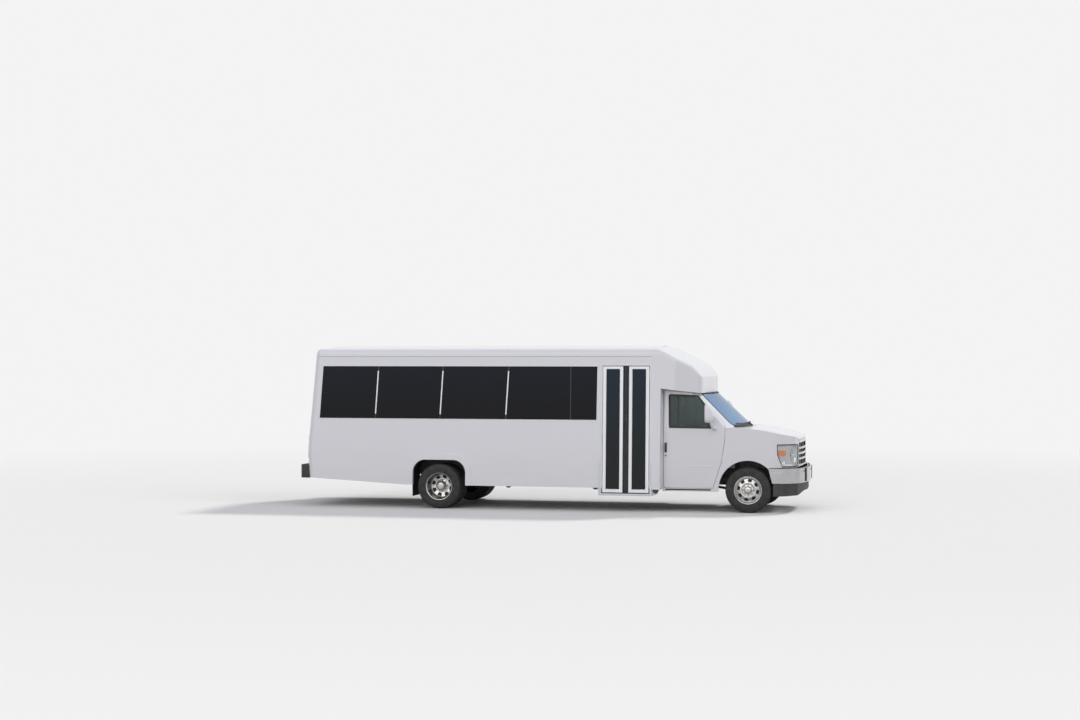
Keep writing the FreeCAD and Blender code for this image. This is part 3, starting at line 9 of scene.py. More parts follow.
import bmesh
import bpy
import numpy as np
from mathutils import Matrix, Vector

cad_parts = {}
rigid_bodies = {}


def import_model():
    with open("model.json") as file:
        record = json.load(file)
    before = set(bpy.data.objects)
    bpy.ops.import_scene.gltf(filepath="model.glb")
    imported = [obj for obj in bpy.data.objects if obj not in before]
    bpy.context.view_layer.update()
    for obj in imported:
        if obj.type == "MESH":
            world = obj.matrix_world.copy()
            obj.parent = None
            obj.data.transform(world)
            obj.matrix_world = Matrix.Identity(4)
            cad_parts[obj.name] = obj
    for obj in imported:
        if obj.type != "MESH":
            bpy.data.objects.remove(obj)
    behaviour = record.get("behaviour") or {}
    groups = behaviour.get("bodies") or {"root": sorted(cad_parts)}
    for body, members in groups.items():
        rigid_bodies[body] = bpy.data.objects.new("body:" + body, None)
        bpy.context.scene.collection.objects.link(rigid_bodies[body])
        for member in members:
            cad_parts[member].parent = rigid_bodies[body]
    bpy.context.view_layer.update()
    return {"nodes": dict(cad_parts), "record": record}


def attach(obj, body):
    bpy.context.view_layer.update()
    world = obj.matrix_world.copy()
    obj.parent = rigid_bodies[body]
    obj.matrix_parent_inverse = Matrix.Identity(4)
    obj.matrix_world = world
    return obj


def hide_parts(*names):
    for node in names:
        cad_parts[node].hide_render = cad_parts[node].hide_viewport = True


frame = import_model()
nodes = frame["nodes"]
print("frame nodes:", len(nodes))

# %% [markdown]
# The camera stands where the photograph was taken from: level with the window sills,
# about 33 m away, a little ahead of the middle, so that perspective is slight.

# %% Camera
camera_data = bpy.data.cameras.new("camera")
camera_data.lens = 65.4
camera_data.sensor_width = 36.0
camera_data.clip_end = 400.0
camera = bpy.data.objects.new("camera", camera_data)
camera.location = (7.418, -32.61, 2.56)
camera.rotation_euler = (math.radians(89.85), 0.0, math.radians(13.39))
bpy.context.scene.collection.objects.link(camera)
bpy.context.scene.camera = camera
print("camera:", round(camera.location.length, 1), "m from the bus")

# %% [markdown]
# A surface here is a grid of points: two parameters run along its rows and columns, and
# each cell of the grid becomes one face. A part is a pair (points, faces), and parts are
# stacked into one mesh. Blender's own primitives could be joined instead, but a formula
# puts every point where the frame needs it.


# %% Mesh tools
def grid(points, round_u=False, round_v=False):
    """Faces between neighbouring points of a grid (rows, columns, 3); a round way closes."""
    rows, columns = points.shape[:2]
    u = np.arange(rows if round_u else rows - 1)
    v = np.arange(columns if round_v else columns - 1)
    u, v = np.meshgrid(u, v, indexing="ij")
    u2, v2 = (u + 1) % rows, (v + 1) % columns
    faces = np.stack([u * columns + v, u2 * columns + v, u2 * columns + v2, u * columns + v2], -1)
    return points.reshape(-1, 3), faces.reshape(-1, 4)


def fan(ring, middle):
    """Triangles from a closed ring of points to one middle point, to close a hole."""
    count = len(ring)
    index = np.arange(count)
    faces = np.stack([index, (index + 1) % count, np.full(count, count), np.full(count, count)], -1)
    return np.vstack([ring, middle]), faces


def stack(parts):
    """Several parts as one: their points in a row, their faces counted on."""
    points, faces, first = [], [], 0
    for p, f in parts:
        points.append(p)
        faces.append(f + first)
        first += len(p)
    return np.vstack(points), np.vstack(faces)


def closed(rings):
    """Rings joined into one form, with either end closed by a fan."""
    ends = [fan(ring, ring.mean(0)) for ring in (rings[0], rings[-1])]
    return stack([grid(rings, round_v=True), *ends])


def sided(part, side):
    """A part made for the left side (1), or its mirror image for the right side (-1)."""
    points, faces = part
    return points * (1, side, 1), faces


def cleaned(name, part):
    """A mesh from a part, its doubles merged and its faces turned outwards."""
    points, faces = part
    lists = [list(dict.fromkeys(row)) for row in faces.tolist()]
    mesh = bpy.data.meshes.new(name)
    mesh.from_pydata(points.tolist(), [], [row for row in lists if len(row) > 2])
    mesh.update()
    work = bmesh.new()
    work.from_mesh(mesh)
    bmesh.ops.remove_doubles(work, verts=work.verts, dist=1e-6)
    bmesh.ops.recalc_face_normals(work, faces=work.faces)
    work.to_mesh(mesh)
    work.free()
    return mesh


def make(name, parts, finish, body="root", angle=35.0):
    """One smooth object from parts, riding on a body; edges past the angle stay sharp."""
    mesh = cleaned(name, stack(parts if isinstance(parts, list) else [parts]))
    obj = bpy.data.objects.new(name, mesh)
    bpy.context.scene.collection.objects.link(obj)
    for material in finish if isinstance(finish, (list, tuple)) else [finish]:
        mesh.materials.append(material)
    mesh.polygons.foreach_set("use_smooth", np.full(len(mesh.polygons), True))
    mesh.set_sharp_from_angle(angle=math.radians(angle))
    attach(obj, body)
    return obj


print("a grid of 3 by 4 points:", len(grid(np.zeros((3, 4, 3)))[1]), "faces")

# %% [markdown]
# Seals, gaskets, trims and rods are long and thin: each is one section carried along one
# path. A curve object with a bevel would do it too, but its section tilts where the path
# turns, while here the section follows the surface that the trim lies on.


# %% Sections and paths
def unit(v):
    """Vectors of length one, row by row."""
    v = np.asarray(v, float)
    return v / np.linalg.norm(v, axis=-1, keepdims=True)


def sweep(path, section, normal, round_path=False):
    """A section (across, out) carried along a path: out follows the normal, across lies in the
    surface beside the path, square to the path's direction at each point."""
    path = np.asarray(path, float)
    section = np.asarray(section, float)
    if round_path:
        along = np.roll(path, -1, 0) - np.roll(path, 1, 0)
    else:
        along = np.gradient(path, axis=0)
    out = np.broadcast_to(np.asarray(normal, float), path.shape)
    across = unit(np.cross(unit(along), out))
    points = (path[:, None] + across[:, None] * section[None, :, :1]
              + out[:, None] * section[None, :, 1:])
    return grid(points, round_u=True, round_v=True) if round_path else closed(points)


def tube(path, radius, sides):
    """A round rod along a path: circles whose first spoke is carried on from circle to
    circle, so that they don't twist."""
    path = np.asarray(path, float)
    along = unit(np.gradient(path, axis=0))
    spoke = np.zeros_like(path)
    axis = np.eye(3)[np.argmin(np.abs(along[0]))]
    spoke[0] = unit(np.cross(along[0], axis))
    for i in range(1, len(path)):
        spoke[i] = unit(spoke[i - 1] - along[i] * np.dot(along[i], spoke[i - 1]))
    other = np.cross(along, spoke)
    turn = np.linspace(0, 2 * np.pi, sides, endpoint=False)
    radius = np.broadcast_to(np.asarray(radius, float), (len(path),))
    cosine, sine = np.cos(turn)[None, :, None], np.sin(turn)[None, :, None]
    around = spoke[:, None] * cosine + other[:, None] * sine
    return closed(path[:, None] + radius[:, None, None] * around)


def rounded(corners, radius, steps=5):
    """A closed outline through corners (u, v), each corner turned on an arc's worth of points."""
    corners = np.asarray(corners, float)
    radius = np.broadcast_to(np.asarray(radius, float), (len(corners),))
    share = np.linspace(0, 1, steps + 1)[:, None]
    points = []
    for i, here in enumerate(corners):
        back = unit(corners[i - 1] - here)
        ahead = unit(corners[(i + 1) % len(corners)] - here)
        reach = radius[i] / np.tan(np.arccos(np.clip(back @ ahead, -1, 1)) / 2)
        start, end = here + back * reach, here + ahead * reach
        points.append((1 - share) ** 2 * start + 2 * share * (1 - share) * here + share**2 * end)
    return np.vstack(points)


def oblong(u0, u1, v0, v1, radius, steps):
    """A rectangle's closed outline with turned corners."""
    return rounded([(u0, v0), (u1, v0), (u1, v1), (u0, v1)], radius, steps)


def strip(width, low, high, soft=0.0015, steps=3):
    """A closed section of a width, from low to high along the surface's direction."""
    half = width / 2
    return rounded([(-half, low), (-half, high), (half, high), (half, low)], soft, steps)


def turned(profile, centre, side, sides=96, lift=None):
    """A profile (out, radius) turned about a wheel's axle; lift may move each point outwards
    by a function of (profile index, angle)."""
    profile = np.asarray(profile, float)
    angle = np.linspace(0, 2 * np.pi, sides, endpoint=False)
    out = np.repeat(profile[:, :1], sides, 1)
    radius = np.repeat(profile[:, 1:], sides, 1)
    if lift is not None:
        out, radius = lift(out, radius, angle[None, :])
    points = np.stack([
        centre[0] + radius * np.sin(angle),
        centre[1] + side * out,
        centre[2] + radius * np.cos(angle),
    ], -1)
    return points


def smoothstep(low, high, value):
    """0 below low, 1 above high, and a soft S between."""
    t = np.clip((value - low) / (high - low), 0, 1)
    return t * t * (3 - 2 * t)


print("an oblong's points:", len(oblong(0, 1, 0, 1, 0.1, 5)))

# %% [markdown]
# Finishes are node materials. Each one varies its colour and roughness with noise in object
# coordinates and gets a fine bump, so that no surface is one flat colour. Painted images
# would need UV maps on every node of the frame; noise in space needs none.


# %% Material tools
def new_material(name):
    """An empty node material with its shader, its tree and its object coordinates."""
    material = bpy.data.materials.new(name)
    material.use_nodes = True
    tree = material.node_tree
    shader = tree.nodes["Principled BSDF"]
    place = tree.nodes.new("ShaderNodeTexCoord").outputs["Object"]
    return material, tree, shader, place


def noise(tree, place, scale, detail=3.0, stretch=(1, 1, 1)):
    """Noise of a scale per metre, drawn out along the axes by stretch."""
    mapping = tree.nodes.new("ShaderNodeMapping")
    mapping.inputs["Scale"].default_value = stretch
    tree.links.new(place, mapping.inputs["Vector"])
    texture = tree.nodes.new("ShaderNodeTexNoise")
    texture.inputs["Scale"].default_value = scale
    texture.inputs["Detail"].default_value = detail
    tree.links.new(mapping.outputs["Vector"], texture.inputs["Vector"])
    return texture.outputs["Fac"]


def spread(tree, value, low, high, start=0.3, end=0.7):
    """A value's range from start to end mapped to low to high."""
    node = tree.nodes.new("ShaderNodeMapRange")
    for key, number in (("From Min", start), ("From Max", end), ("To Min", low), ("To Max", high)):
        node.inputs[key].default_value = number
    tree.links.new(value, node.inputs["Value"])
    return node.outputs["Result"]


def mixed(tree, share, first, second):
    """Two colours, or colour outputs, mixed by a share."""
    node = tree.nodes.new("ShaderNodeMix")
    node.data_type = "RGBA"
    tree.links.new(share, node.inputs["Factor"])
    for socket, value in ((node.inputs[6], first), (node.inputs[7], second)):
        if isinstance(value, tuple):
            socket.default_value = (*value, 1.0)
        else:
            tree.links.new(value, socket)
    return node.outputs[2]


def bumped(tree, shader, height, strength, distance):
    """A bump from a height value."""
    node = tree.nodes.new("ShaderNodeBump")
    node.inputs["Strength"].default_value = strength
    node.inputs["Distance"].default_value = distance
    tree.links.new(height, node.inputs["Height"])
    tree.links.new(node.outputs["Normal"], shader.inputs["Normal"])


print("material tools: noise, spread, mixed, bumped")

# %% [markdown]
# Most of the bus is paint, plastic, rubber or metal, which differ only in colours, sheen and
# grain, so one function makes them all. Glass needs its own: it is a share of gloss over a
# plain see-through tint, which renders with less noise than true refraction in a thin pane.
# The gloss's colour carries a painted reflection of the surroundings that changes with height.


# %% Finish and glass
def finish(name, colour, other, rough, metal=0.0, coat=0.0, patch=2.0, grain=300.0, bump=0.1,
           depth=0.0005, stretch=(1, 1, 1), extra=None):
    """The usual finish: two colours in soft patches, a roughness range and a fine grain."""
    material, tree, shader, place = new_material(name)
    patches = noise(tree, place, patch, stretch=stretch)
    colour_out = mixed(tree, spread(tree, patches, 0, 1), colour, other)
    tree.links.new(colour_out, shader.inputs["Base Color"])
    tree.links.new(spread(tree, noise(tree, place, patch * 3.1), rough[0], rough[1]),
                   shader.inputs["Roughness"])
    shader.inputs["Metallic"].default_value = metal
    shader.inputs["Coat Weight"].default_value = coat
    shader.inputs["Coat Roughness"].default_value = 0.04
    bumped(tree, shader, noise(tree, place, grain, 2.0, stretch), bump, depth)
    for key, value in (extra or {}).items():
        shader.inputs[key].default_value = value
    return material


def glass(name, upper_tint_and_reflection, lower_tint_and_reflection, share, clear, gloss=0.5, low=1.4, high=2.5):
    """Tinted sheet glass: a share of tinted gloss over a see-through colour, clear. The gloss's
    colour runs from the lower colour at the height low to the upper colour at the height high,
    broken up by a soft noise: it is the tint with a painted reflection of the surroundings."""
    material, tree, shader, place = new_material(name)
    split = tree.nodes.new("ShaderNodeSeparateXYZ")
    tree.links.new(place, split.inputs["Vector"])
    height = spread(tree, split.outputs["Z"], 0, 1, low, high)
    reflection_and_roughness_cloud = noise(tree, place, 1.3, 4.0)
    both = tree.nodes.new("ShaderNodeMath")
    both.operation = "MULTIPLY"
    tree.links.new(height, both.inputs[0])
    tree.links.new(spread(tree, reflection_and_roughness_cloud, 0.7, 1.1), both.inputs[1])
    # painted reflection: the base colour changes with height and a soft noise, laid over the tint
    colour = mixed(tree, both.outputs["Value"], lower_tint_and_reflection, upper_tint_and_reflection)
    tree.links.new(colour, shader.inputs["Base Color"])
    tree.links.new(spread(tree, reflection_and_roughness_cloud, 0.02, 0.032), shader.inputs["Roughness"])
    shader.inputs["Specular IOR Level"].default_value = gloss
    passing = tree.nodes.new("ShaderNodeBsdfTransparent")
    passing.inputs["Color"].default_value = (*clear, 1.0)
    mix = tree.nodes.new("ShaderNodeMixShader")
    mix.inputs["Fac"].default_value = share
    tree.links.new(passing.outputs["BSDF"], mix.inputs[1])
    tree.links.new(shader.outputs["BSDF"], mix.inputs[2])
    output = tree.nodes["Material Output"]
    tree.links.new(mix.outputs["Shader"], output.inputs["Surface"])
    return material


print("finish and glass are ready")

# %% [markdown]
# The body's white is the finish that shows most. One even white would look like plastic, so
# two close tones lie in large patches, and low down the white turns a little darker and browner.


# %% The white paint
def white_paint():
    """Gloss white with a faint orange peel. Towards the sills it turns darker and browner: the
    share of the darker colour is a ramp of height times a streaky noise, drawn out along the bus."""
    material, tree, shader, place = new_material("white_paint")
    patches = spread(tree, noise(tree, place, 0.6), 0, 1)
    tone = mixed(tree, patches, (0.795, 0.790, 0.806), (0.800, 0.794, 0.810))
    split = tree.nodes.new("ShaderNodeSeparateXYZ")
    tree.links.new(place, split.inputs["Vector"])
    low = spread(tree, split.outputs["Z"], 1.0, 0.0, 0.28, 1.05)
    # darker and browner towards the sills, in streaks, as the height falls
    brownish_share = tree.nodes.new("ShaderNodeMath")
    brownish_share.operation = "MULTIPLY"
    tree.links.new(low, brownish_share.inputs[0])
    streaks = noise(tree, place, 5.0, 6.0, (0.25, 1, 1))
    tree.links.new(spread(tree, streaks, 0.04, 0.20), brownish_share.inputs[1])
    colour = mixed(tree, brownish_share.outputs["Value"], tone, (0.50, 0.485, 0.46))
    tree.links.new(colour, shader.inputs["Base Color"])
    tree.links.new(spread(tree, noise(tree, place, 2.5), 0.275, 0.285), shader.inputs["Roughness"])
    shader.inputs["Coat Weight"].default_value = 0.3
    shader.inputs["Coat Roughness"].default_value = 0.06
    bumped(tree, shader, noise(tree, place, 160.0, 1.0), 0.015, 0.0002)
    return material


paint = white_paint()
print("paint:", paint.name)

# %% [markdown]
# The other finishes differ only in numbers: two colours, a range of roughness, then the share
# of metal. Chrome is darker than real chrome, because the white stage fills its reflections.

# %% The other finishes
chassis = finish("chassis_black", (0.018, 0.018, 0.019), (0.040, 0.037, 0.034), (0.45, 0.7),
                 patch=9)
cast = finish("cast_metal", (0.10, 0.10, 0.10), (0.20, 0.18, 0.16), (0.5, 0.75), 0.7, patch=12,
              grain=500, bump=0.35, depth=0.001)
tank = finish("tank_plastic", (0.020, 0.020, 0.021), (0.035, 0.034, 0.033), (0.5, 0.65), patch=6)
steel = finish("exhaust_steel", (0.30, 0.28, 0.26), (0.22, 0.19, 0.17), (0.35, 0.55), 0.9,
               patch=14)
covering = finish("floor_covering", (0.11, 0.11, 0.12), (0.14, 0.14, 0.15), (0.6, 0.8), patch=40,
                  grain=900, bump=0.4, depth=0.0008)
white_plastic = finish("white_plastic", (0.80, 0.81, 0.83), (0.84, 0.845, 0.86), (0.25, 0.35),
                       coat=0.3, grain=700, bump=0.06)
aluminium = finish("door_aluminium", (0.74, 0.75, 0.77), (0.80, 0.81, 0.82), (0.28, 0.36), 0.25,
                   coat=0.1, patch=5, grain=900, bump=0.05, stretch=(1, 1, 0.02))
chrome = finish("chrome_trim", (0.50, 0.50, 0.51), (0.44, 0.44, 0.45), (0.06, 0.12), 1.0,
                patch=7, grain=60, bump=0.02, depth=0.0004)
wheel_chrome = finish("wheel_chrome", (0.40, 0.395, 0.39), (0.52, 0.515, 0.51), (0.14, 0.26),
                      1.0, patch=26, grain=90, bump=0.05, depth=0.0004)
# Painted shade: the dark floor of each wheel pocket stands in for the shaded inside of a hand hole.
hand_hole_shade = finish("painted_hand_hole_shade", (0.020, 0.019, 0.018), (0.035, 0.033, 0.031), (0.5, 0.7),
                    0.3, patch=30)
dark_plastic = finish("dark_plastic", (0.030, 0.030, 0.032), (0.050, 0.049, 0.048), (0.5, 0.68),
                      patch=8, grain=1200, bump=0.35, depth=0.0006)
rubber = finish("seal_rubber", (0.012, 0.012, 0.013), (0.022, 0.021, 0.021), (0.45, 0.62),
                patch=11, grain=800, bump=0.2)
flap = finish("flap_rubber", (0.014, 0.014, 0.014), (0.050, 0.046, 0.042), (0.6, 0.8), patch=10)
lens = glass("lamp_lens", (0.82, 0.84, 0.85), (0.78, 0.80, 0.81), 0.10, (0.97, 0.98, 0.98), 0.8)
# Painted reflection: these window colours are dark tint plus a painted reflection, bluish sky above
# and darker ground below. The cab glass's green is partly tint and partly a painted reflection of
# trees.
dark_glass = glass("dark_glass", (0.0065, 0.0110, 0.0240), (0.0030, 0.0026, 0.0022), 0.94,
                   (0.20, 0.22, 0.24), 0.10)
door_glass = glass("door_glass", (0.010, 0.028, 0.052), (0.012, 0.017, 0.016), 0.82,
                   (0.30, 0.34, 0.36), 0.14, low=0.8, high=2.4)
clear_glass = glass("clear_glass", (0.075, 0.125, 0.115), (0.040, 0.070, 0.062), 0.55,
                    (0.60, 0.68, 0.66), 0.4, low=1.38, high=1.92)
# Painted reflection: the windscreen's blue is a painted reflection of the sky.
screen_glass = glass("screen_glass", (0.24, 0.40, 0.66), (0.28, 0.48, 0.76), 0.62,
                     (0.66, 0.76, 0.80), 0.8, low=1.4, high=1.9)
red_lens = finish("red_lens", (0.30, 0.004, 0.006), (0.40, 0.008, 0.008), (0.16, 0.24), coat=0.4,
                  patch=30, grain=260, bump=0.3, depth=0.0006)
amber_lens = finish("amber_lens", (0.88, 0.22, 0.008), (0.95, 0.30, 0.015), (0.12, 0.20),
                    coat=0.3, patch=30, grain=260, bump=0.3, depth=0.0006)
rail = finish("rail_steel", (0.60, 0.61, 0.62), (0.52, 0.53, 0.55), (0.18, 0.28), 1.0, patch=15)
print("materials:", len(bpy.data.materials))

# %% [markdown]
# The frame's nodes keep their shapes and take these finishes. The record names a slot for
# each node, so one table of slots dresses them all, and the few glass and liner nodes that
# differ are set after it.

# %% Finishes on the frame
by_slot = {
    "chassis_black": chassis, "cast_metal": cast, "tank_plastic": tank, "exhaust_steel": steel,
    "floor_covering": covering, "white_paint": paint, "white_plastic": white_plastic,
    "dark_glass": dark_glass, "clear_glass": clear_glass, "door_aluminium": aluminium,
    "chrome_trim": chrome, "lamp_lens": lens, "dark_plastic": dark_plastic, "flap_rubber": flap,
    "seat_cloth": dark_plastic, "red_lens": red_lens, "rail_steel": rail, "tyre": rubber,
}
for part in frame["record"]["subparts"]:
    node = nodes[part["node"]]
    node.data.materials.clear()
    node.data.materials.append(by_slot[part["material_slot"]])
    node.data.shade_smooth()
    node.data.set_sharp_from_angle(angle=math.radians(30))
nodes["windscreen"].data.materials[0] = screen_glass
for name in ("front", "rear"):
    nodes["entry_glazing_" + name].data.materials[0] = door_glass
nodes["wheel_wells"].data.materials[0] = dark_plastic
print("finishes:", len(bpy.data.materials))

# %% [markdown]
# The stage is a wide pale floor. Away from the bus it turns into a plain white backdrop for
# the eye and for reflections, so that it has no horizon, while close by it keeps the shadow.
# A curved studio wall would do the same, but would show its bend in the chrome.


# %% Stage
def plain_sight(tree):
    """1 for a ray from the eye, from a reflection or through glass, 0 for one that lights."""
    path = tree.nodes.new("ShaderNodeLightPath")
    most = path.outputs["Is Camera Ray"]
    for name in ("Is Glossy Ray", "Is Transmission Ray"):
        larger = tree.nodes.new("ShaderNodeMath")
        larger.operation = "MAXIMUM"
        tree.links.new(most, larger.inputs[0])
        tree.links.new(path.outputs[name], larger.inputs[1])
        most = larger.outputs["Value"]
    return most


backdrop_white = (0.90, 0.90, 0.90)
fade_start, fade_end = 9.0, 26.0
floor_reach = 300.0


def stage_material():
    """A pale floor that is duller to the light that bounces. Its share of backdrop grows with
    the distance from the bus, from 0 at 9 m to 1 at 26 m."""
    material, tree, shader, place = new_material("stage_floor")
    shader.inputs["Roughness"].default_value = 0.9
    shader.inputs["Specular IOR Level"].default_value = 0.1
    sight = plain_sight(tree)
    seen = mixed(tree, sight, (0.36, 0.35, 0.34), (0.93, 0.90, 0.855))
    tree.links.new(seen, shader.inputs["Base Color"])
    away = tree.nodes.new("ShaderNodeVectorMath")
    away.operation = "LENGTH"
    tree.links.new(place, away.inputs[0])
    fade = tree.nodes.new("ShaderNodeMapRange")
    fade.interpolation_type = "SMOOTHSTEP"
    fade.inputs["From Min"].default_value = fade_start
    fade.inputs["From Max"].default_value = fade_end
    tree.links.new(away.outputs["Value"], fade.inputs["Value"])
    share = tree.nodes.new("ShaderNodeMath")
    share.operation = "MULTIPLY"
    tree.links.new(fade.outputs["Result"], share.inputs[0])
    tree.links.new(sight, share.inputs[1])
    glow = tree.nodes.new("ShaderNodeEmission")
    glow.inputs["Color"].default_value = (*backdrop_white, 1.0)
    mix = tree.nodes.new("ShaderNodeMixShader")
    tree.links.new(share.outputs["Value"], mix.inputs["Fac"])
    tree.links.new(shader.outputs["BSDF"], mix.inputs[1])
    tree.links.new(glow.outputs["Emission"], mix.inputs[2])
    tree.links.new(mix.outputs["Shader"], tree.nodes["Material Output"].inputs["Surface"])
    return material


sheet_points, sheet_faces = grid(floor_reach * np.array([[[-1, -1, 0], [-1, 1, 0]],
                                                         [[1, -1, 0], [1, 1, 0]]]))
floor_mesh = bpy.data.meshes.new("stage_floor")
floor_mesh.from_pydata(sheet_points.tolist(), [], sheet_faces.tolist())
floor_mesh.materials.append(stage_material())
floor = bpy.data.objects.new("stage_floor", floor_mesh)
bpy.context.scene.collection.objects.link(floor)
print("stage:", 2 * floor_reach, "m square")

# %% [markdown]
# Three suns light the bus: a firm one from behind and two broad ones for the open sky at the
# side and the front. One bright sky alone would leave the roof's edge and the wheels flat.


# %% Light
def sun(name, toward, strength, softness, colour):
    """A sun that shines along a direction. One narrower than 20 degrees would show in glass and
    chrome as a hard white disc, so reflections don't see it."""
    data = bpy.data.lights.new(name, "SUN")
    data.energy = strength
    data.angle = math.radians(softness)
    data.color = colour
    obj = bpy.data.objects.new(name, data)
    obj.rotation_euler = Vector(toward).to_track_quat("-Z", "Y").to_euler()
    bpy.context.scene.collection.objects.link(obj)
    obj.visible_glossy = softness > 20.0


sun("sun_behind", (-5.0, -7.0, -9.0), 1.5, 9.0, (1.0, 0.985, 0.96))
sun("sky_side", (2.0, 9.0, -4.0), 0.95, 60.0, (1.0, 0.985, 0.985))
sun("sky_front", (-8.0, 3.0, -5.0), 0.5, 40.0, (1.0, 1.0, 1.0))
world = bpy.data.worlds.new("world")
world.use_nodes = True
bpy.context.scene.world = world
sky_tree = world.node_tree
sky = sky_tree.nodes["Background"]
sky_place = sky_tree.nodes.new("ShaderNodeTexCoord").outputs["Generated"]
sky_split = sky_tree.nodes.new("ShaderNodeSeparateXYZ")
sky_tree.links.new(sky_place, sky_split.inputs["Vector"])
sky_height = spread(sky_tree, sky_split.outputs["Z"], 0, 1, -0.02, 0.5)
sky_colour = mixed(sky_tree, sky_height, (0.37, 0.37, 0.375), (0.37, 0.40, 0.475))
sky_seen = mixed(sky_tree, plain_sight(sky_tree), sky_colour, backdrop_white)
sky_tree.links.new(sky_seen, sky.inputs["Color"])
sky.inputs["Strength"].default_value = 1.0
bpy.context.scene.view_settings.view_transform = "Standard"
print("suns:", len(bpy.data.lights))

# %% [markdown]
# Each tyre is a rounded profile turned about its axle; the tread's grooves and sipes sink
# the crown by a few millimetres as a function of place across and angle round. A bump
# texture would be quicker, but the mesh itself is kept, so the tread is real.

# %% Tyres
axle = {"front": 3.343, "rear": -1.787}
tyre_radius = 0.372
rim_radius = 0.2225
front_track_half = 0.880
twin_inner, twin_outer = 0.856, 1.110
crown_half = 0.076
tyre_profile = rounded(
    [(-0.0905, rim_radius), (-0.1085, 0.236), (-0.1120, 0.292), (-0.1010, 0.352), (-0.0820, 0.370),
     (0.0820, 0.370), (0.1010, 0.352), (0.1120, 0.292), (0.1085, 0.236), (0.0905, rim_radius)],
    [0.001, 0.010, 0.022, 0.018, 0.010, 0.010, 0.018, 0.022, 0.010, 0.001], 4)


def tread_profile():
    """The tyre's profile with its flat crown divided finely, so that the grooves have edges."""
    crown = np.linspace(-crown_half, crown_half, 46)
    left = tyre_profile[tyre_profile[:, 0] < -0.078]
    right = tyre_profile[tyre_profile[:, 0] > 0.078]
    top = np.stack([crown, tyre_radius - 0.0022 * (crown / crown_half) ** 2], -1)
    return np.vstack([left, top, right])


def tread(out, radius, angle):
    """Four straight grooves round the tyre and zigzag sipes across its ribs: the radius drops
    by 8 mm in a groove and by 3 mm, or 7 mm at the shoulder, in a sipe, by smooth steps of
    the distance to its middle."""
    crown = smoothstep(0.099, 0.090, np.abs(out)) * smoothstep(0.345, 0.355, radius)
    groove = np.zeros_like(radius)
    for middle in (-0.050, -0.018, 0.018, 0.050):
        groove = np.maximum(groove, smoothstep(0.0052, 0.0030, np.abs(out - middle)))
    wave = 0.35 * np.sin(out * 95.0)
    phase = (angle * 56 / (2 * np.pi) + wave) % 1.0
    sipe = smoothstep(0.17, 0.08, np.abs(phase - 0.5))
    shoulder = smoothstep(0.058, 0.066, np.abs(out))
    depth = 0.008 * groove + (1 - groove) * sipe * (0.003 + 0.004 * shoulder)
    return out, radius - crown * depth


def tyre_part(x, y, side):
    """One whole tyre: the profile's first and last rows meet in a band at the rim's radius."""
    shape = turned(tread_profile(), (x, y, tyre_radius), side, 280, tread)
    return grid(shape, round_u=True, round_v=True)


def tyre_finish():
    """Black rubber with brownish dust in patches and a fine grain."""
    material, tree, shader, place = new_material("tyre_rubber")
    brownish_share = spread(tree, noise(tree, place, 14.0, 5.0), 0, 1, 0.35, 0.75)
    colour = mixed(tree, brownish_share, (0.014, 0.014, 0.015), (0.040, 0.037, 0.034))
    tree.links.new(colour, shader.inputs["Base Color"])
    tree.links.new(spread(tree, noise(tree, place, 40.0), 0.62, 0.82), shader.inputs["Roughness"])
    bumped(tree, shader, noise(tree, place, 600.0, 2.0), 0.25, 0.0006)
    return material


tyre_rubber = tyre_finish()
for side, name in ((-1, "right"), (1, "left")):
    part = tyre_part(axle["front"], side * front_track_half, side)
    obj = make("tyre_front_" + name, part, tyre_rubber, "front_wheel_" + name, angle=40)
    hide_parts("front_tyre_" + name)
    pair = [tyre_part(axle["rear"], side * y, side) for y in (twin_inner, twin_outer)]
    obj = make("tyres_rear_" + name, pair, tyre_rubber, "rear_wheels_" + name, angle=40)
    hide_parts("rear_tyres_" + name)
print("tyres: 6")

# %% [markdown]
# The wheels are polished liners. The front one is a shallow dome with a ring of hand holes
# round a raised hub; the rear one is the same dome turned inwards as a deep dish. Holes
# could be cut with booleans, which leave ragged shading on a dome. Here a hand hole is a
# pocket: the surface sinks inside a rounded cell of radius and angle, and its floor is
# painted dark as the shade inside an open hole.


# %% Wheels
def pocket_share(radius, angle, count, r0, r1, width, turn):
    """Above 0 inside a rounded cell of radius and angle, 1 at its middle."""
    phase = (angle + turn) % (2 * np.pi / count) - np.pi / count
    across = np.abs(radius - (r0 + r1) / 2) / ((r1 - r0) / 2)
    along = np.abs(phase) / (width / 2)
    power = 3.2
    return 1 - (across**power + along**power) ** (1 / power)


def pockets(depth, *cells):
    """A lift that sinks a row of pockets by a depth, with soft shoulders."""
    def lift(out, radius, angle):
        return out - depth * smoothstep(-0.02, 0.14, pocket_share(radius, angle, *cells)), radius
    return lift


def darken(obj, centre, *cells):
    """The pockets' floors, as seen along the axle, take the piece's second finish, a dark colour
    painted in as the shade inside an open hand hole.
    """
    count = len(obj.data.polygons)
    middle = np.empty(count * 3, np.float32)
    obj.data.polygons.foreach_get("center", middle)
    middle = middle.reshape(-1, 3) - centre
    radius = np.hypot(middle[:, 0], middle[:, 2])
    share = pocket_share(radius, np.arctan2(middle[:, 0], middle[:, 2]), *cells)
    near = np.abs(middle[:, 1]) < 0.16
    obj.data.polygons.foreach_set("material_index", ((share > 0.05) & near).astype(np.int32))


def fine_profile(rows, step=0.004):
    """A profile's straight runs divided into steps of about one length."""
    points = [np.array(rows[0])]
    for a, b in zip(rows, rows[1:]):
        a, b = np.array(a), np.array(b)
        count = max(1, int(round(np.linalg.norm(b - a) / step)))
        points += [a + (b - a) * k / count for k in range(1, count + 1)]
    return np.array(points)


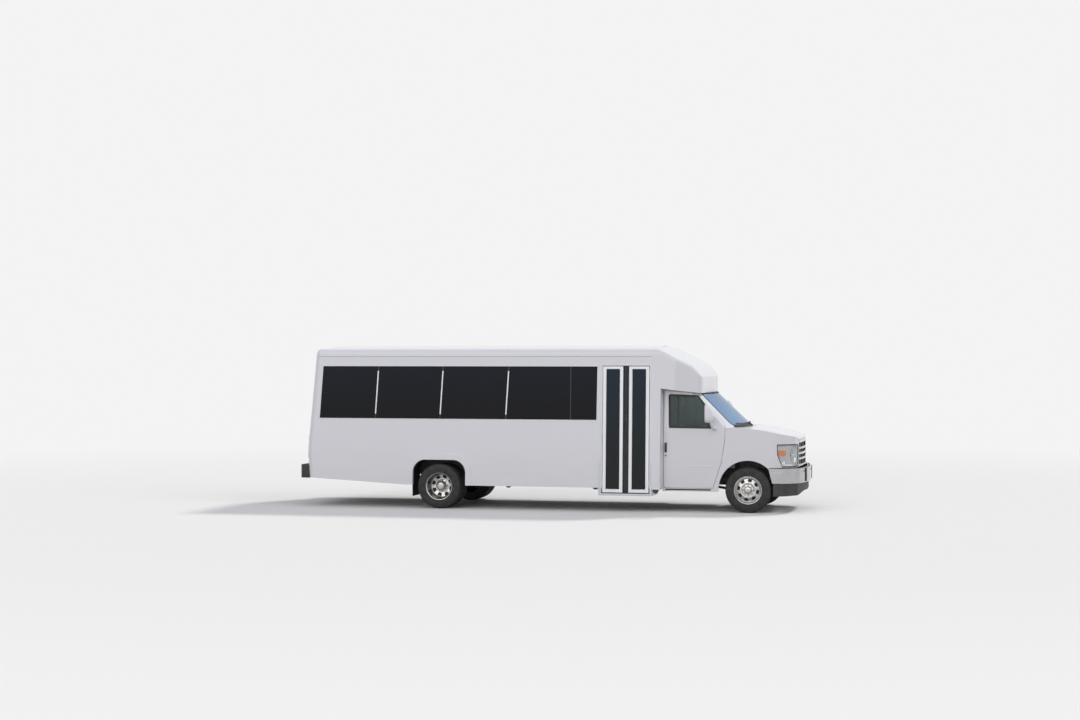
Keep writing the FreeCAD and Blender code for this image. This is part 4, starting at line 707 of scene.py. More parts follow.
def wheel_part(rows, centre, side, lift):
    """A wheel's face from its rim to its middle, closed at the middle by one point."""
    shape = turned(fine_profile(rows), centre, side, 160, lift)
    middle = np.array([centre[0], shape[-1, 0, 1], centre[2]])
    face = grid(shape, round_v=True)
    return stack([face, fan(shape[-1], middle)])


def nuts(centre, side, count, ring, out, size, height):
    """Domed nuts in a circle: rings on a soft hexagon, drawn in level by level to the top."""
    parts = []
    for k in range(count):
        a = 2 * np.pi * k / count
        middle = np.array([centre[0] + ring * np.sin(a), 0, centre[2] + ring * np.cos(a)])
        levels = [(0, 1.15), (0.15, 1.15), (0.2, 1.0), (0.62, 1.0), (0.82, 0.8), (1.0, 0.45)]
        around = np.linspace(0, 2 * np.pi, 18, endpoint=False)
        wave = 1 - 0.07 * np.cos(6 * around) ** 2
        rings = []
        for lift_share, scale in levels:
            r = size * scale * (wave if 0.15 < lift_share < 0.7 else 1)
            rings.append(np.stack([middle[0] + r * np.sin(around),
                                   np.full(18, centre[1] + side * (out + height * lift_share)),
                                   middle[2] + r * np.cos(around)], -1))
        parts.append(grid(np.array(rings), round_v=True))
        parts.append(fan(rings[-1], rings[-1].mean(0)))
    return parts


print("nuts on a wheel use", len(nuts((0, 0, 0), 1, 8, 0.08, 0.07, 0.0125, 0.024)), "parts")

# %% [markdown]
# The wheels' profiles run from the rim's inner edge to the hub's middle as (out, radius).
# The inner rim of each rear pair is a plain barrel, because the outer wheel hides it.


# %% Wheel faces
front_rows = [
    (-0.0905, 0.2215), (-0.088, 0.206), (0.030, 0.204), (0.044, 0.212), (0.090, 0.2225),
    (0.0965, 0.2300), (0.1010, 0.2265), (0.0985, 0.2190), (0.0700, 0.2080), (0.0530, 0.2010),
    (0.0510, 0.1960), (0.0620, 0.1800), (0.0740, 0.1500), (0.0800, 0.1200), (0.0790, 0.1050),
    (0.0700, 0.0980), (0.0690, 0.0900), (0.0710, 0.0640), (0.0950, 0.0560), (0.1080, 0.0520),
    (0.1150, 0.0450), (0.1175, 0.0300), (0.1180, 0.0060)]
rear_rows = [
    (0.0905, 0.2215), (0.0965, 0.2300), (0.1010, 0.2265), (0.0985, 0.2190), (0.0830, 0.2080),
    (-0.0500, 0.2040), (-0.0800, 0.1980), (-0.0950, 0.1840), (-0.1080, 0.1500), (-0.1130, 0.1200),
    (-0.1130, 0.1100), (-0.1080, 0.0980), (-0.1050, 0.0880), (-0.1000, 0.0740), (-0.0400, 0.0640),
    (-0.0100, 0.0600), (0.0000, 0.0540), (0.0045, 0.0420), (0.0050, 0.0060)]


def barrel(low, high):
    """The inner rim of a twin: a plain barrel between two lips."""
    return [(low, 0.2215), (low - 0.006, 0.2300), (low, 0.2190), (low + 0.03, 0.2060),
            (high - 0.03, 0.2060), (high, 0.2190), (high + 0.006, 0.2300), (high, 0.2215)]


for side, name in ((-1, "right"), (1, "left")):
    centre = (axle["front"], side * front_track_half, tyre_radius)
    cells = (8, 0.134, 0.180, 0.40, 0.2)
    lift = pockets(0.030, *cells)
    parts = [wheel_part(front_rows, centre, side, lift)]
    parts += nuts(centre, side, 8, 0.0815, 0.070, 0.0125, 0.024)
    obj = make("wheel_front_" + name, parts, [wheel_chrome, hand_hole_shade], "front_wheel_" + name,
               angle=50)
    darken(obj, centre, *cells)
    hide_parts("front_rim_" + name)
    centre = (axle["rear"], side * twin_outer, tyre_radius)
    cells = (8, 0.124, 0.180, 0.42, 0.1)
    lift = pockets(0.020, *cells)
    parts = [wheel_part(rear_rows, centre, side, lift)]
    parts += nuts(centre, side, 8, 0.0850, -0.103, 0.0125, 0.026)
    inner_centre = (axle["rear"], side * twin_inner, tyre_radius)
    inner = turned(fine_profile(barrel(-0.0905, 0.0905)), inner_centre, side)
    parts.append(grid(inner, round_u=True, round_v=True))
    obj = make("wheels_rear_" + name, parts, [wheel_chrome, hand_hole_shade], "rear_wheels_" + name,
               angle=50)
    darken(obj, centre, *cells)
    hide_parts("rear_rims_" + name)
print("wheels: 4 faces with 32 hand holes and 32 nuts")

# %% [markdown]
# The side walls lean in by 2.4 degrees as they rise. Trims are swept along paths on that
# plane: a path is given by (x, z), and its sections stand out along the wall's normal. Bars
# laid flat and then turned would need their ends fitted by hand.


# %% Places on the walls
def wall_half(z):
    """Half the body's width at a height."""
    return 1.220 - 0.090 * (np.asarray(z) - 0.388) / 2.152


lean = unit([0.0, 1.0, 0.0418216])


def wall_normal(side):
    """The outward direction of a side wall."""
    return np.array([0.0, side * lean[1], lean[2]])


def on_wall(rows, side, out=0.0):
    """Points (x, z) on a side wall's plane, moved out along its normal."""
    rows = np.asarray(rows, float)
    points = np.stack([rows[:, 0], side * wall_half(rows[:, 1]), rows[:, 1]], -1)
    return points + wall_normal(side) * out


def along_wall(rows, section, side, out=0.0, round_path=False):
    """A section swept along a path (x, z) on a side wall."""
    return sweep(on_wall(rows, side, out), section, wall_normal(side), round_path)


def pad(outline, place, normal, low, high, soft=0.002):
    """A flat pad on a surface: its outline at low, raised to high with a softened edge, and
    closed by a fan on both faces."""
    base = place(outline)
    toward = unit(base.mean(0) - base)
    levels = ((low, 0.0), (high - soft, 0.0), (high - soft * 0.3, soft * 0.3), (high, soft))
    return closed(np.array([base + toward * inset + np.asarray(normal) * out
                            for out, inset in levels]))


def bar(width, height, soft=0.0015):
    """A flat bar's section with softened outer corners."""
    half = width / 2
    return rounded([(-half, 0), (-half, height), (half, height), (half, 0)],
                   [0.0001, soft, soft, 0.0001], 3)


print("the walls' lean in degrees:", round(math.degrees(math.asin(lean[2])), 2))

# %% [markdown]
# The window band has a bright trim line all round it, slim bright strips over the joints,
# and black posts behind the glass where the inner frames stand. The strips are solids, not a
# pattern on the glass, because they catch the light along their edges.

# %% Window band
rear_x = -4.125
sill, head = 1.487, 2.377
joint_rows = [(0.221, 0.276), (1.213, 1.264), (2.343, 2.394), (3.473, 3.524), (4.573, 4.573)]
joints = {-1: [(rear_x + a, rear_x + b) for a, b in joint_rows] + [(0.891, 0.901)]}
last_foot, last_head = joints[-1][3]
joints[1] = joints[-1][:4] + [(last_foot + 1.130, last_head + 1.110), (1.718, 1.728)]
drip = rounded([(-0.010, -0.001), (-0.010, 0.003), (-0.003, 0.011), (0.006, 0.009),
                (0.010, -0.001)], 0.0015, 3)
strip_gap = 0.085 / (head - sill)
for side, name in ((-1, "right"), (1, "left")):
    ends = joints[side]
    corners = [(ends[0][0], sill), (ends[-1][0], sill), (ends[-1][1], head), (ends[0][1], head)]
    rim = along_wall(rounded(corners, 0.012, 4), strip(0.014, -0.001, 0.0035, 0.0012), side,
                     round_path=True)
    make("window_trim_" + name, rim, white_plastic)
    strips, posts = [], []
    for foot, top in ends[1:4] if side == -1 else ends[1:5]:
        path = [(foot + (top - foot) * t, sill + (head - sill) * t)
                for t in (strip_gap, 0.5, 1 - strip_gap)]
        strips.append(along_wall(path, bar(0.020, 0.005), side))
    make("window_strips_" + name, strips, aluminium)
    for foot, top in ends[1:-1]:
        for shift in (-0.052, 0.052):
            path = [(foot + shift, sill + 0.03), (top + shift, head - 0.03)]
            posts.append(along_wall(path, strip(0.028, -0.012, 0, 0.002, 2), side, -0.0095))
    for foot, top in ends[1:-1]:
        path = [(foot, sill + 0.002), ((foot + top) / 2, (sill + head) / 2), (top, head - 0.002)]
        posts.append(along_wall(path, strip(0.018, -0.016, 0.0012, 0.001, 2), side))
    make("window_posts_" + name, posts, rubber)
    seam = [(rear_x + 0.20, 2.540), (1.80, 2.540)]
    make("roof_seam_" + name, along_wall(seam, drip, side), paint)
print("window band: trims, strips, posts and roof seams")

# %% [markdown]
# Many trims lie on curved panels. Instead of repeating the panels' formulas, a rough path is
# laid on the frame's own surface: each point moves to the nearest point of the panel and
# takes the panel's outward direction there.

# %% Laying paths on panels
from mathutils.bvhtree import BVHTree

bodies = frame["record"]["behaviour"]["bodies"]
carrier = {node: body for body, members in bodies.items() for node in members}


def surface(*names):
    """A search tree over the triangles of some of the frame's nodes."""
    points, faces, first = [], [], 0
    for name in names:
        mesh = nodes[name].data
        place = np.empty(len(mesh.vertices) * 3, np.float32)
        mesh.vertices.foreach_get("co", place)
        mesh.calc_loop_triangles()
        corner = np.empty(len(mesh.loop_triangles) * 3, np.int32)
        mesh.loop_triangles.foreach_get("vertices", corner)
        points.append(place.reshape(-1, 3))
        faces.append(corner.reshape(-1, 3) + first)
        first += len(mesh.vertices)
    return BVHTree.FromPolygons(np.vstack(points).tolist(), np.vstack(faces).tolist(),
                                all_triangles=True)


def onto(tree, path):
    """A path moved to the nearest points of a surface, and the surface's directions there."""
    found = [tree.find_nearest(p)[:2] for p in np.asarray(path, float).tolist()]
    return np.array([list(f[0]) for f in found]), unit(np.array([list(f[1]) for f in found]))


def even(path, step, round_path=False):
    """Points at equal steps of length along a path."""
    path = np.asarray(path, float)
    if round_path:
        path = np.vstack([path, path[:1]])
    run = np.concatenate([[0], np.cumsum(np.linalg.norm(np.diff(path, axis=0), axis=1))])
    share = np.linspace(0, run[-1], max(3, int(round(run[-1] / step))) + 1)
    points = np.stack([np.interp(share, run, path[:, k]) for k in range(path.shape[1])], -1)
    return points[:-1] if round_path else points


def thicken(obj, depth):
    """A sheet gets a wall of some depth behind it; a depth below 0 puts it on the other side,
    which a mirrored sheet needs."""
    wall = obj.modifiers.new("wall", "SOLIDIFY")
    wall.thickness = depth
    wall.offset = -1
    return obj


print("nodes that ride on a body:", len(carrier))

# %% [markdown]
# The entry is two narrow glazed leaves that meet at soft black seals. Each leaf's pane sits
# in a thin rubber gasket with a bright bead round it, and a white trim frames the whole
# opening on the wall. Each leaf's own pieces ride on its body, so they swing with it.

# %% Entry door
seal_section = rounded([(-0.0238, -0.0235), (-0.0238, 0.0006), (-0.0080, 0.0006),
                        (-0.0060, -0.0035), (0.0060, -0.0035), (0.0080, 0.0006),
                        (0.0238, 0.0006), (0.0238, -0.0235)], 0.0012, 3)
entry_leaves = {"front": (1.423, 1.755, 1.400), "rear": (0.991, 1.323, 1.346)}
entry_foot, entry_head, leaf_frame = 0.318, 2.372, 0.052
pane_foot, pane_head, bead_gap = 0.3735, 2.3265, 0.016
for name, (start, end, seal) in entry_leaves.items():
    body = "entry_" + name + "_body"
    path = [(seal, entry_foot - 0.0005), (seal, 1.3), (seal, entry_head + 0.0005)]
    make("entry_seal_" + name, along_wall(path, seal_section, -1), rubber, body)
    a, b = start + leaf_frame + 0.0035, end - leaf_frame - 0.0035
    gasket = along_wall(oblong(a, b, pane_foot, pane_head, 0.010, 4),
                        strip(0.009, -0.0135, -0.0030), -1, round_path=True)
    make("entry_gasket_" + name, gasket, rubber, body)
    bead = oblong(a - bead_gap, b + bead_gap, pane_foot - bead_gap, pane_head + bead_gap, 0.014, 4)
    make("entry_bead_" + name, along_wall(bead, strip(0.004, -0.002, 0.0016, 0.0008), -1,
                                          round_path=True), aluminium, body)
make("entry_trim", along_wall(oblong(0.965, 1.782, 0.291, 2.391, 0.008, 3),
                              strip(0.018, -0.003, 0.0045), -1, round_path=True), white_plastic)
tread_edges = ((-0.950, 0.550), (-0.660, 0.800))


def step_bar(start, end, y, z, section):
    """A bar along a step's edge, from start to end along the bus."""
    return sweep([(start, y, z), (1.36, y, z), (end, y, z)], section, (0, 0, 1))


nosing = [step_bar(0.930, 1.798, y, z, bar(0.034, 0.004)) for y, z in tread_edges]
ribs = [step_bar(0.935, 1.793, y + k * 0.007, z, bar(0.003, 0.0058, 0.0008))
        for y, z in tread_edges for k in (-2, -1, 0, 1, 2)]
make("entry_nosings", nosing + ribs, aluminium)
bracket = rounded([(-0.044, 0.0), (-0.036, -0.034), (-0.008, -0.062), (0.020, -0.062),
                   (0.044, -0.030), (0.044, 0.0)], 0.006, 3)
bracket_rows = (  # place along, outer and inner end across, height, size
    (1.860, -1.205, -1.100, 0.376, (1.0, 1.1)),
    (0.868, -1.205, -1.090, 0.392, (1.0, 0.55)),
    (-0.60, -1.205, -1.14, 0.392, (0.8, 0.45)),
)
hangers = [sweep([(x, y0, z), (x, (y0 + y1) / 2, z), (x, y1, z)], bracket * size, (0, 0, 1))
           for x, y0, y1, z, size in bracket_rows]
make("step_brackets", hangers, dark_plastic)
print("entry door: seals, gaskets, beads, trim, nosings and brackets")

# %% [markdown]
# The cab's doors. Below the waist the cab's side is upright and above it leans in by five
# degrees. The window has a black gasket and a thin upright bar; the handle is a black paddle
# in a shallow cup with a round lock below it. The crease along the door is a low swept ridge
# in the body's paint: cutting it into the frame's node would change the frame.


# %% Cab doors
def cab_half(z):
    """Half the cab's width at a height."""
    return 1.0 - 0.075 * np.maximum(0, np.asarray(z) - 1.366) / 0.869


def on_cab(rows, side, out=0.0):
    """Points (x, z) on a cab side, moved out."""
    rows = np.asarray(rows, float)
    return np.stack([rows[:, 0], side * (cab_half(rows[:, 1]) + out), rows[:, 1]], -1)


def cab_normal(side, upper=True):
    """The cab side's outward direction above or below the waist."""
    return np.array([0.0, side * 0.9963, 0.0863]) if upper else np.array([0.0, side, 0.0])


def along_cab(rows, section, side, upper=True, round_path=False):
    """A section swept along a path (x, z) on a cab side."""
    return sweep(on_cab(rows, side), section, cab_normal(side, upper), round_path)


def cab_pad(outline, side, low, high, soft=0.002):
    """A pad on the upright part of a cab side."""
    return pad(outline, lambda rows: on_cab(rows, side), cab_normal(side, False), low, high, soft)


door_window = rounded([(2.056, 1.383), (2.749, 1.375), (2.634, 1.767), (2.527, 1.899),
                       (2.046, 1.917)], [0.028, 0.020, 0.085, 0.040, 0.038], 6)
inner_window = rounded([(2.070, 1.397), (2.728, 1.389), (2.619, 1.759), (2.521, 1.885),
                        (2.060, 1.902)], [0.024, 0.016, 0.075, 0.035, 0.032], 6)
window_bar = [(2.196, 1.378), (2.196, 1.65), (2.196, 1.912)]
window_sill = [(2.052, 1.374), (2.40, 1.370), (2.750, 1.3665)]
angle = np.linspace(0, 2 * np.pi, 24, endpoint=False)
for side, name in ((-1, "right"), (1, "left")):
    body = "cab_door_" + name + "_body"
    parts = [along_cab(door_window, strip(0.011, -0.018, 0.0022), side, round_path=True),
             along_cab(inner_window, strip(0.026, -0.0175, -0.0120), side, round_path=True),
             along_cab(window_bar, strip(0.015, -0.024, -0.006), side),
             along_cab(window_sill, strip(0.012, -0.001, 0.005), side)]
    make("door_gasket_" + name, parts, rubber, body)
    cup = oblong(1.981, 2.021, 0.968, 1.129, 0.010, 5)
    paddle = oblong(1.986, 2.015, 0.976, 1.121, 0.008, 5)
    parts = [cab_pad(cup, side, -0.002, 0.003), cab_pad(paddle, side, 0.002, 0.013, 0.004)]
    for radius, low, high in ((0.0135, -0.002, 0.003), (0.0085, 0.002, 0.005)):
        disc = np.stack([2.001 + radius * np.cos(angle), 0.918 + radius * np.sin(angle)], -1)
        parts.append(cab_pad(disc, side, low, high, 0.001))
    make("door_handle_" + name, parts, dark_plastic, body)
    crease = rounded([(-0.016, -0.002), (-0.003, 0.0030), (0.002, 0.0030), (0.005, -0.002)],
                     0.0010, 3) * (-side, 1)
    make("door_crease_" + name, along_cab([(1.985, 0.754), (2.4, 0.754), (2.878, 0.754)], crease,
                                          side, upper=False), paint, body)
    slot = oblong(1.995, 2.742, 0.3555, 0.3790, 0.008, 4)
    make("rocker_slot_" + name, cab_pad(slot, side, -0.002, 0.0012, 0.0006), dark_plastic)
print("cab doors: gaskets, bars, handles, locks, creases")

# %% [markdown]
# Each mirror is a smooth white shell that opens backwards round its glass, on a short arm. A
# ring is a superellipse, |y/a|^p + |z/b|^p = 1, and the shell is a row of such rings whose
# size follows a quarter of a superellipse towards the front. A subdivided box gives much
# the same form, but not one whose outline is known beforehand.


# %% Mirrors
def superring(centre, half_y, half_z, power, count=56):
    """One ring of a rounded rectangle across the bus."""
    t = np.linspace(0, 2 * np.pi, count, endpoint=False)
    y = np.sign(np.cos(t)) * np.abs(np.cos(t)) ** (2 / power) * half_y
    z = np.sign(np.sin(t)) * np.abs(np.sin(t)) ** (2 / power) * half_z
    return np.stack([np.full(count, centre[0]), centre[1] + y, centre[2] + z], -1)


shell_rows = [(2.831 - 0.086 * t, np.sqrt(max(0.0, 1 - (1 - t) ** 2.2)))
              for t in np.linspace(0.02, 1, 12)]
shell_rows += [(2.715, 0.995), (2.692, 0.970), (2.688, 0.950), (2.690, 0.915), (2.699, 0.900)]


def mirror_rings(rows):
    """The mirror's rounded outline at each place along the bus, scaled by that row's size."""
    return np.array([superring((x, 1.230, 1.618), 0.0995 * size, 0.1535 * size, 3.4)
                     for x, size in rows])


shell_back = 2.690
rings = mirror_rings(shell_rows)
taper = 1 - 0.30 * (rings[..., 2] - 1.464) / 0.308
rings[..., 0] = shell_back + (rings[..., 0] - shell_back) * taper
mirror_shell = closed(rings)
arm_path = even([(2.765, 1.168, 1.478), (2.772, 1.142, 1.425), (2.786, 1.095, 1.386),
                 (2.800, 1.045, 1.366), (2.806, 0.996, 1.360)], 0.012)
arm_radius = np.interp(np.linspace(0, 1, len(arm_path)), [0, 0.5, 1], [0.024, 0.019, 0.026])
mirror_pane = closed(mirror_rings([(2.704, 0.885), (2.697, 0.885), (2.6955, 0.878)]))
foot_rows = ((0.994, 1.0), (1.006, 1.0), (1.014, 0.9), (1.017, 0.7))
mirror_foot = closed(np.array([
    superring((0, 0, 0), 0.040 * s, 0.034 * s, 3.0)[:, [1, 0, 2]] + (2.806, y, 1.360)
    for y, s in foot_rows]))
for side, name in ((1, "left"), (-1, "right")):
    body = carrier["mirror_" + name]
    obj = make("mirror_shell_" + name, sided(mirror_shell, side), white_plastic, body, angle=50)
    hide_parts("mirror_" + name)
    arm = sided(tube(arm_path, arm_radius, 20), side)
    make("mirror_arm_" + name, arm, white_plastic, body, angle=50)
    make("mirror_foot_" + name, sided(mirror_foot, side), white_plastic, body, angle=50)
    make("mirror_pane_" + name, sided(mirror_pane, side), chrome, body, angle=50)
print("mirrors: 2")

# %% [markdown]
# The windscreen's pane lies on a cylinder that leans back with the pillars. A point of it is
# the foot of the middle line, plus a run up the pillar's direction, minus the sagitta of the
# cylinder for its place across. A black gasket follows its border, and the wipers rest on
# its foot. The formula is used instead of the frame's surface, because near the border the
# nearest point of the surface could lie on the pillar.


# %% Windscreen
screen_radius = 2.618
screen_foot = np.array([3.303, 0.0, 1.366])
screen_normal = np.array([0.6884, 0.0, 0.7253])


def on_screen(y, z, out=0.0):
    """A point of the screen's surface over a place across and a height."""
    up = np.array([-590.0, 0.0, 560.0]) / 813.45
    normal = np.array([560.0, 0.0, 590.0]) / 813.45
    y, z = np.asarray(y, float), np.asarray(z, float)
    sag = screen_radius - np.sqrt(screen_radius**2 - y**2)
    run = (z - screen_foot[2] + 0.7253 * sag) / 0.6885
    points = screen_foot + run[..., None] * up - (sag - out)[..., None] * normal
    points[..., 1] += y
    return points


def screen_spot(y, z, out):
    """One point over the screen's surface."""
    return on_screen(np.array([y]), np.array([z]), out)[0]


border = even(rounded([(-0.812, 1.409), (0.812, 1.409), (0.757, 1.932), (-0.757, 1.932)],
                      0.060, 8), 0.03, True)
border_path = on_screen(border[:, 0], border[:, 1])
tilt = np.stack([np.full(len(border), screen_normal[0]), border[:, 0] / screen_radius,
                 np.full(len(border), screen_normal[2])], -1)
make("screen_gasket", sweep(border_path, strip(0.022, -0.010, 0.0030), unit(tilt),
                            round_path=True), rubber)
across = np.linspace(-0.80, 0.80, 41)
cowl_path = on_screen(across, np.full(41, 1.389), 0.002)
make("screen_cowl", sweep(cowl_path, strip(0.034, -0.010, 0.006, 0.003), screen_normal),
     dark_plastic)
wiper_parts = []
for pivot, tip in ((0.62, 0.02), (-0.04, -0.66)):
    foot = screen_spot(pivot, 1.392, 0.016)
    blade = on_screen(np.linspace(pivot - 0.03, tip, 15), np.linspace(1.418, 1.436, 15), 0.004)
    arm = even([foot, screen_spot(pivot - 0.10, 1.424, 0.022),
                screen_spot((pivot + tip) / 2, 1.430, 0.016)], 0.03)
    wiper_parts.append(tube(arm, np.linspace(0.008, 0.005, len(arm)), 8))
    wiper_parts.append(sweep(blade, strip(0.007, -0.003, 0.010), screen_normal))
    knob = [foot - screen_normal * 0.02, foot, foot + screen_normal * 0.008]
    wiper_parts.append(tube(knob, [0.014, 0.014, 0.009], 14))
make("wipers", wiper_parts, dark_plastic, angle=50)
print("windscreen: gasket, cowl and two wipers")

# %% [markdown]
# The nose. In plan it runs straight along the wing, turns on a wide corner into a slanted
# cheek, then on a tighter one into the bowed front. The headlamps wrap round the cheeks:
# behind the clear lens stands a bright bowl whose depth falls off with the square of the
# distance from its middle, with a bulb, and an amber block at the back. A bowl turned about
# an axis would cut through a lens that wraps round, so this one starts from the lens's own
# surface and sinks from there.

# %% Headlamps
lamp_foot, lamp_head = 0.758, 1.096
nose_corners = rounded([(3.20, 1.0), (3.743, 1.0), (4.085, 0.760), (4.160, 0.0),
                        (4.085, -0.760), (3.743, -1.0), (3.20, -1.0)],
                       [0.001, 0.42, 0.15, 0.001, 0.15, 0.42, 0.001], 12)
nose_plan = even(nose_corners[nose_corners[:, 1] >= 0], 0.006)
nose_plan = nose_plan[nose_plan[:, 0] > 3.6]
lamp_surface = surface("headlamps")
lamp_and_wing = surface("headlamps", "front_wings", "grille")


def nose_y(x):
    """The place across of the nose's plan at a place along the bus."""
    order = np.argsort(nose_plan[:, 0])
    return np.interp(x, nose_plan[order, 0], nose_plan[order, 1])


lamp_rows = nose_plan[(nose_plan[:, 0] > 3.822) & (nose_plan[:, 1] > 0.585)]
lamp_heights = np.linspace(lamp_foot, lamp_head, 44)
run = np.concatenate([[0], np.cumsum(np.linalg.norm(np.diff(lamp_rows, axis=0), axis=1))])
columns, heights = np.meshgrid(np.arange(len(lamp_rows)), lamp_heights, indexing="ij")
shift = (np.clip((0.940 - heights) * 0.364, 0, 1)
         * np.clip((3.96 - lamp_rows[columns, 0]) / 0.14, 0, 1))
rough_sheet = np.stack([lamp_rows[columns, 0] + shift, lamp_rows[columns, 1], heights], -1)
rough_sheet[..., 1] = np.where(shift > 0, nose_y(rough_sheet[..., 0]), rough_sheet[..., 1])
spots, ways = onto(lamp_surface, rough_sheet.reshape(-1, 3))
spots, ways = spots.reshape(rough_sheet.shape), ways.reshape(rough_sheet.shape)
place_along = run[columns]
bowl_middle = run[-1] - 0.135
bowl = np.clip(1 - ((place_along - bowl_middle) / 0.112) ** 2
               - ((heights - 0.930) / 0.150) ** 2, 0, 1)
side_bowl = np.clip(1 - ((place_along - 0.075) / 0.060) ** 2
                    - ((heights - 0.860) / 0.085) ** 2, 0, 1)
edge = np.minimum.reduce([place_along, run[-1] - place_along, heights - lamp_foot,
                          lamp_head - heights])
depth = (0.012 + 0.016 * smoothstep(0.0, 0.02, edge) + 0.045 * np.sqrt(bowl)
         + 0.024 * np.sqrt(side_bowl))
flute = 0.0006 * np.sin(place_along * 420) * (bowl == 0)
reflector = spots - ways * (depth + flute)[..., None]
bulb_place = np.argmin(np.abs(run - bowl_middle))
bulb_way = ways[bulb_place, 22]
bulb_base = spots[bulb_place, 22] - bulb_way * 0.072
bulb = tube([bulb_base + bulb_way * out for out in (0, 0.012, 0.016, 0.042, 0.048)],
            [0.019, 0.019, 0.010, 0.010, 0.004], 20)
print("lamp sheet:", reflector.shape[:2], "points")

# %% [markdown]
# The amber block is a second sheet close behind the lens, with a fine swell that breaks up
# the light as its prisms would. A black rim follows the lamp's outline on the panels; the
# outline is given roughly and then laid on the surface.

# %% Lamp ambers and rims
amber_x, amber_z = np.meshgrid(np.linspace(3.834, 3.944, 22), np.linspace(0.926, 1.012, 16),
                               indexing="ij")
amber_rough = np.stack([amber_x, nose_y(amber_x), amber_z], -1)
amber_spots, amber_ways = onto(lamp_surface, amber_rough.reshape(-1, 3))
swell = 0.0012 * (np.sin(amber_x * 700) * np.sin(amber_z * 700)).reshape(-1, 1)
amber_sheet = (amber_spots - amber_ways * (0.006 + swell)).reshape(22, 16, 3)
top = nose_plan[(nose_plan[:, 0] > 3.811) & (nose_plan[:, 1] > 0.572)]
bottom = top[top[:, 0] > 3.888][::-1]
front_y = 0.575
outline = np.vstack([
    np.column_stack([top, np.full(len(top), 1.110)]),
    [(4.111, front_y, z) for z in np.linspace(1.08, 0.78, 9)],
    np.column_stack([bottom, np.full(len(bottom), 0.746)]),
    *[[(x, nose_y(x), z) for x, z in zip(np.linspace(x0, x1, 8), np.linspace(z0, z1, 8))]
      for x0, x1, z0, z1 in ((3.874, 3.818, 0.785, 0.935), (3.817, 3.812, 0.955, 1.095))],
])
rim_spots, rim_ways = onto(lamp_and_wing, even(outline, 0.012, True))
lamp_rim = sweep(rim_spots, strip(0.009, -0.006, 0.0028), rim_ways, round_path=True)
for side, name in ((1, "left"), (-1, "right")):
    bowl_sheet = make("lamp_reflector_" + name, sided(grid(reflector), side), chrome, angle=60)
    thicken(bowl_sheet, 0.002 * side)
    make("lamp_bulb_" + name, sided(bulb, side), white_plastic)
    thicken(make("lamp_amber_" + name, sided(grid(amber_sheet), side), amber_lens), 0.004 * side)
    make("lamp_rim_" + name, sided(lamp_rim, side), rubber)
print("headlamps: reflector faces", 2 * (reflector.shape[0] - 1) * (reflector.shape[1] - 1))

# %% [markdown]
# Behind the bright bars of the grille stands a black lattice of thin uprights and slats. The
# front bows by 0.13 y squared and leans back above the bonnet's lip. An image of a mesh
# would lie flat; real slats give the depth that shows from the side. The bumper's step pad
# and two guards are laid on the bumper's own surface.


# %% Grille and bumper
def front_face(y, z, back):
    """A point behind the nose's front face."""
    x = 4.158 - 0.13 * y**2 - 0.30 * np.maximum(0, z - 1.060) - back
    return np.stack(np.broadcast_arrays(x, y, z), -1)


lattice = []
upright_z, slat_y = np.linspace(0.748, 1.150, 6), np.linspace(-0.548, 0.548, 23)
for y in np.arange(-0.544, 0.545, 0.017):
    path = front_face(np.full(6, y), upright_z, 0.046)
    lattice.append(sweep(path, strip(0.0035, -0.010, 0.0, 0.001), (1, 0, 0)))
for z in np.arange(0.770, 1.150, 0.0235):
    path = front_face(slat_y, np.full(23, z), 0.047)
    lattice.append(sweep(path, strip(0.0045, -0.009, 0.0, 0.001), (1, 0, 0)))
make("grille_lattice", lattice, dark_plastic)
# Painted shade: a black sheet behind the lattice stands for the shaded depth behind the grille.
sheet_y, sheet_z = np.meshgrid(np.linspace(-0.556, 0.556, 40), np.linspace(0.742, 1.158, 14),
                               indexing="ij")
thicken(make("grille_shade_sheet", grid(front_face(sheet_y, sheet_z, 0.058)), rubber), 0.003)
bumper_surface = surface("front_bumper")
bumper_corners = rounded([(3.70, 0.985), (3.963, 0.985), (4.160, 0.800), (4.255, 0.0),
                          (4.160, -0.800), (3.963, -0.985), (3.70, -0.985)],
                         [0.001, 0.23, 0.15, 2.0, 0.15, 0.23, 0.001], 10)
rail_path = even(bumper_corners[1:-1], 0.03)
inward = np.stack([np.full(len(rail_path), 0.6), np.sign(rail_path[:, 1]) * 0.5], -1)
inner = rail_path - 0.020 * inward
pad_spots = onto(bumper_surface, np.column_stack([inner, np.full(len(inner), 0.735)]))[0]
make("bumper_pad", sweep(pad_spots, strip(0.026, -0.003, 0.0055, 0.002), (0, 0, 1)), dark_plastic)
guards = []
for y in (-0.44, 0.44):
    z = np.linspace(0.500, 0.716, 10)
    spots = onto(bumper_surface, np.stack([np.full(10, 4.30), np.full(10, y), z], -1))[0]
    spots = np.column_stack([np.full(10, spots[:, 0].max() - 0.004), spots[:, 1], z])
    guards.append(sweep(spots, strip(0.074, -0.010, 0.016, 0.008), (1, 0, 0)))
make("bumper_guards", guards, dark_plastic, angle=60)
print("grille lattice bars:", len(lattice))

# %% [markdown]
# A slim bead covers the joint where the moulded cap meets the wall and the roof. The side's
# outline at that place is laid on the panels' own surface. Its outward directions come from
# the path itself, because at the joint the nearest panel edge may face along the bus.

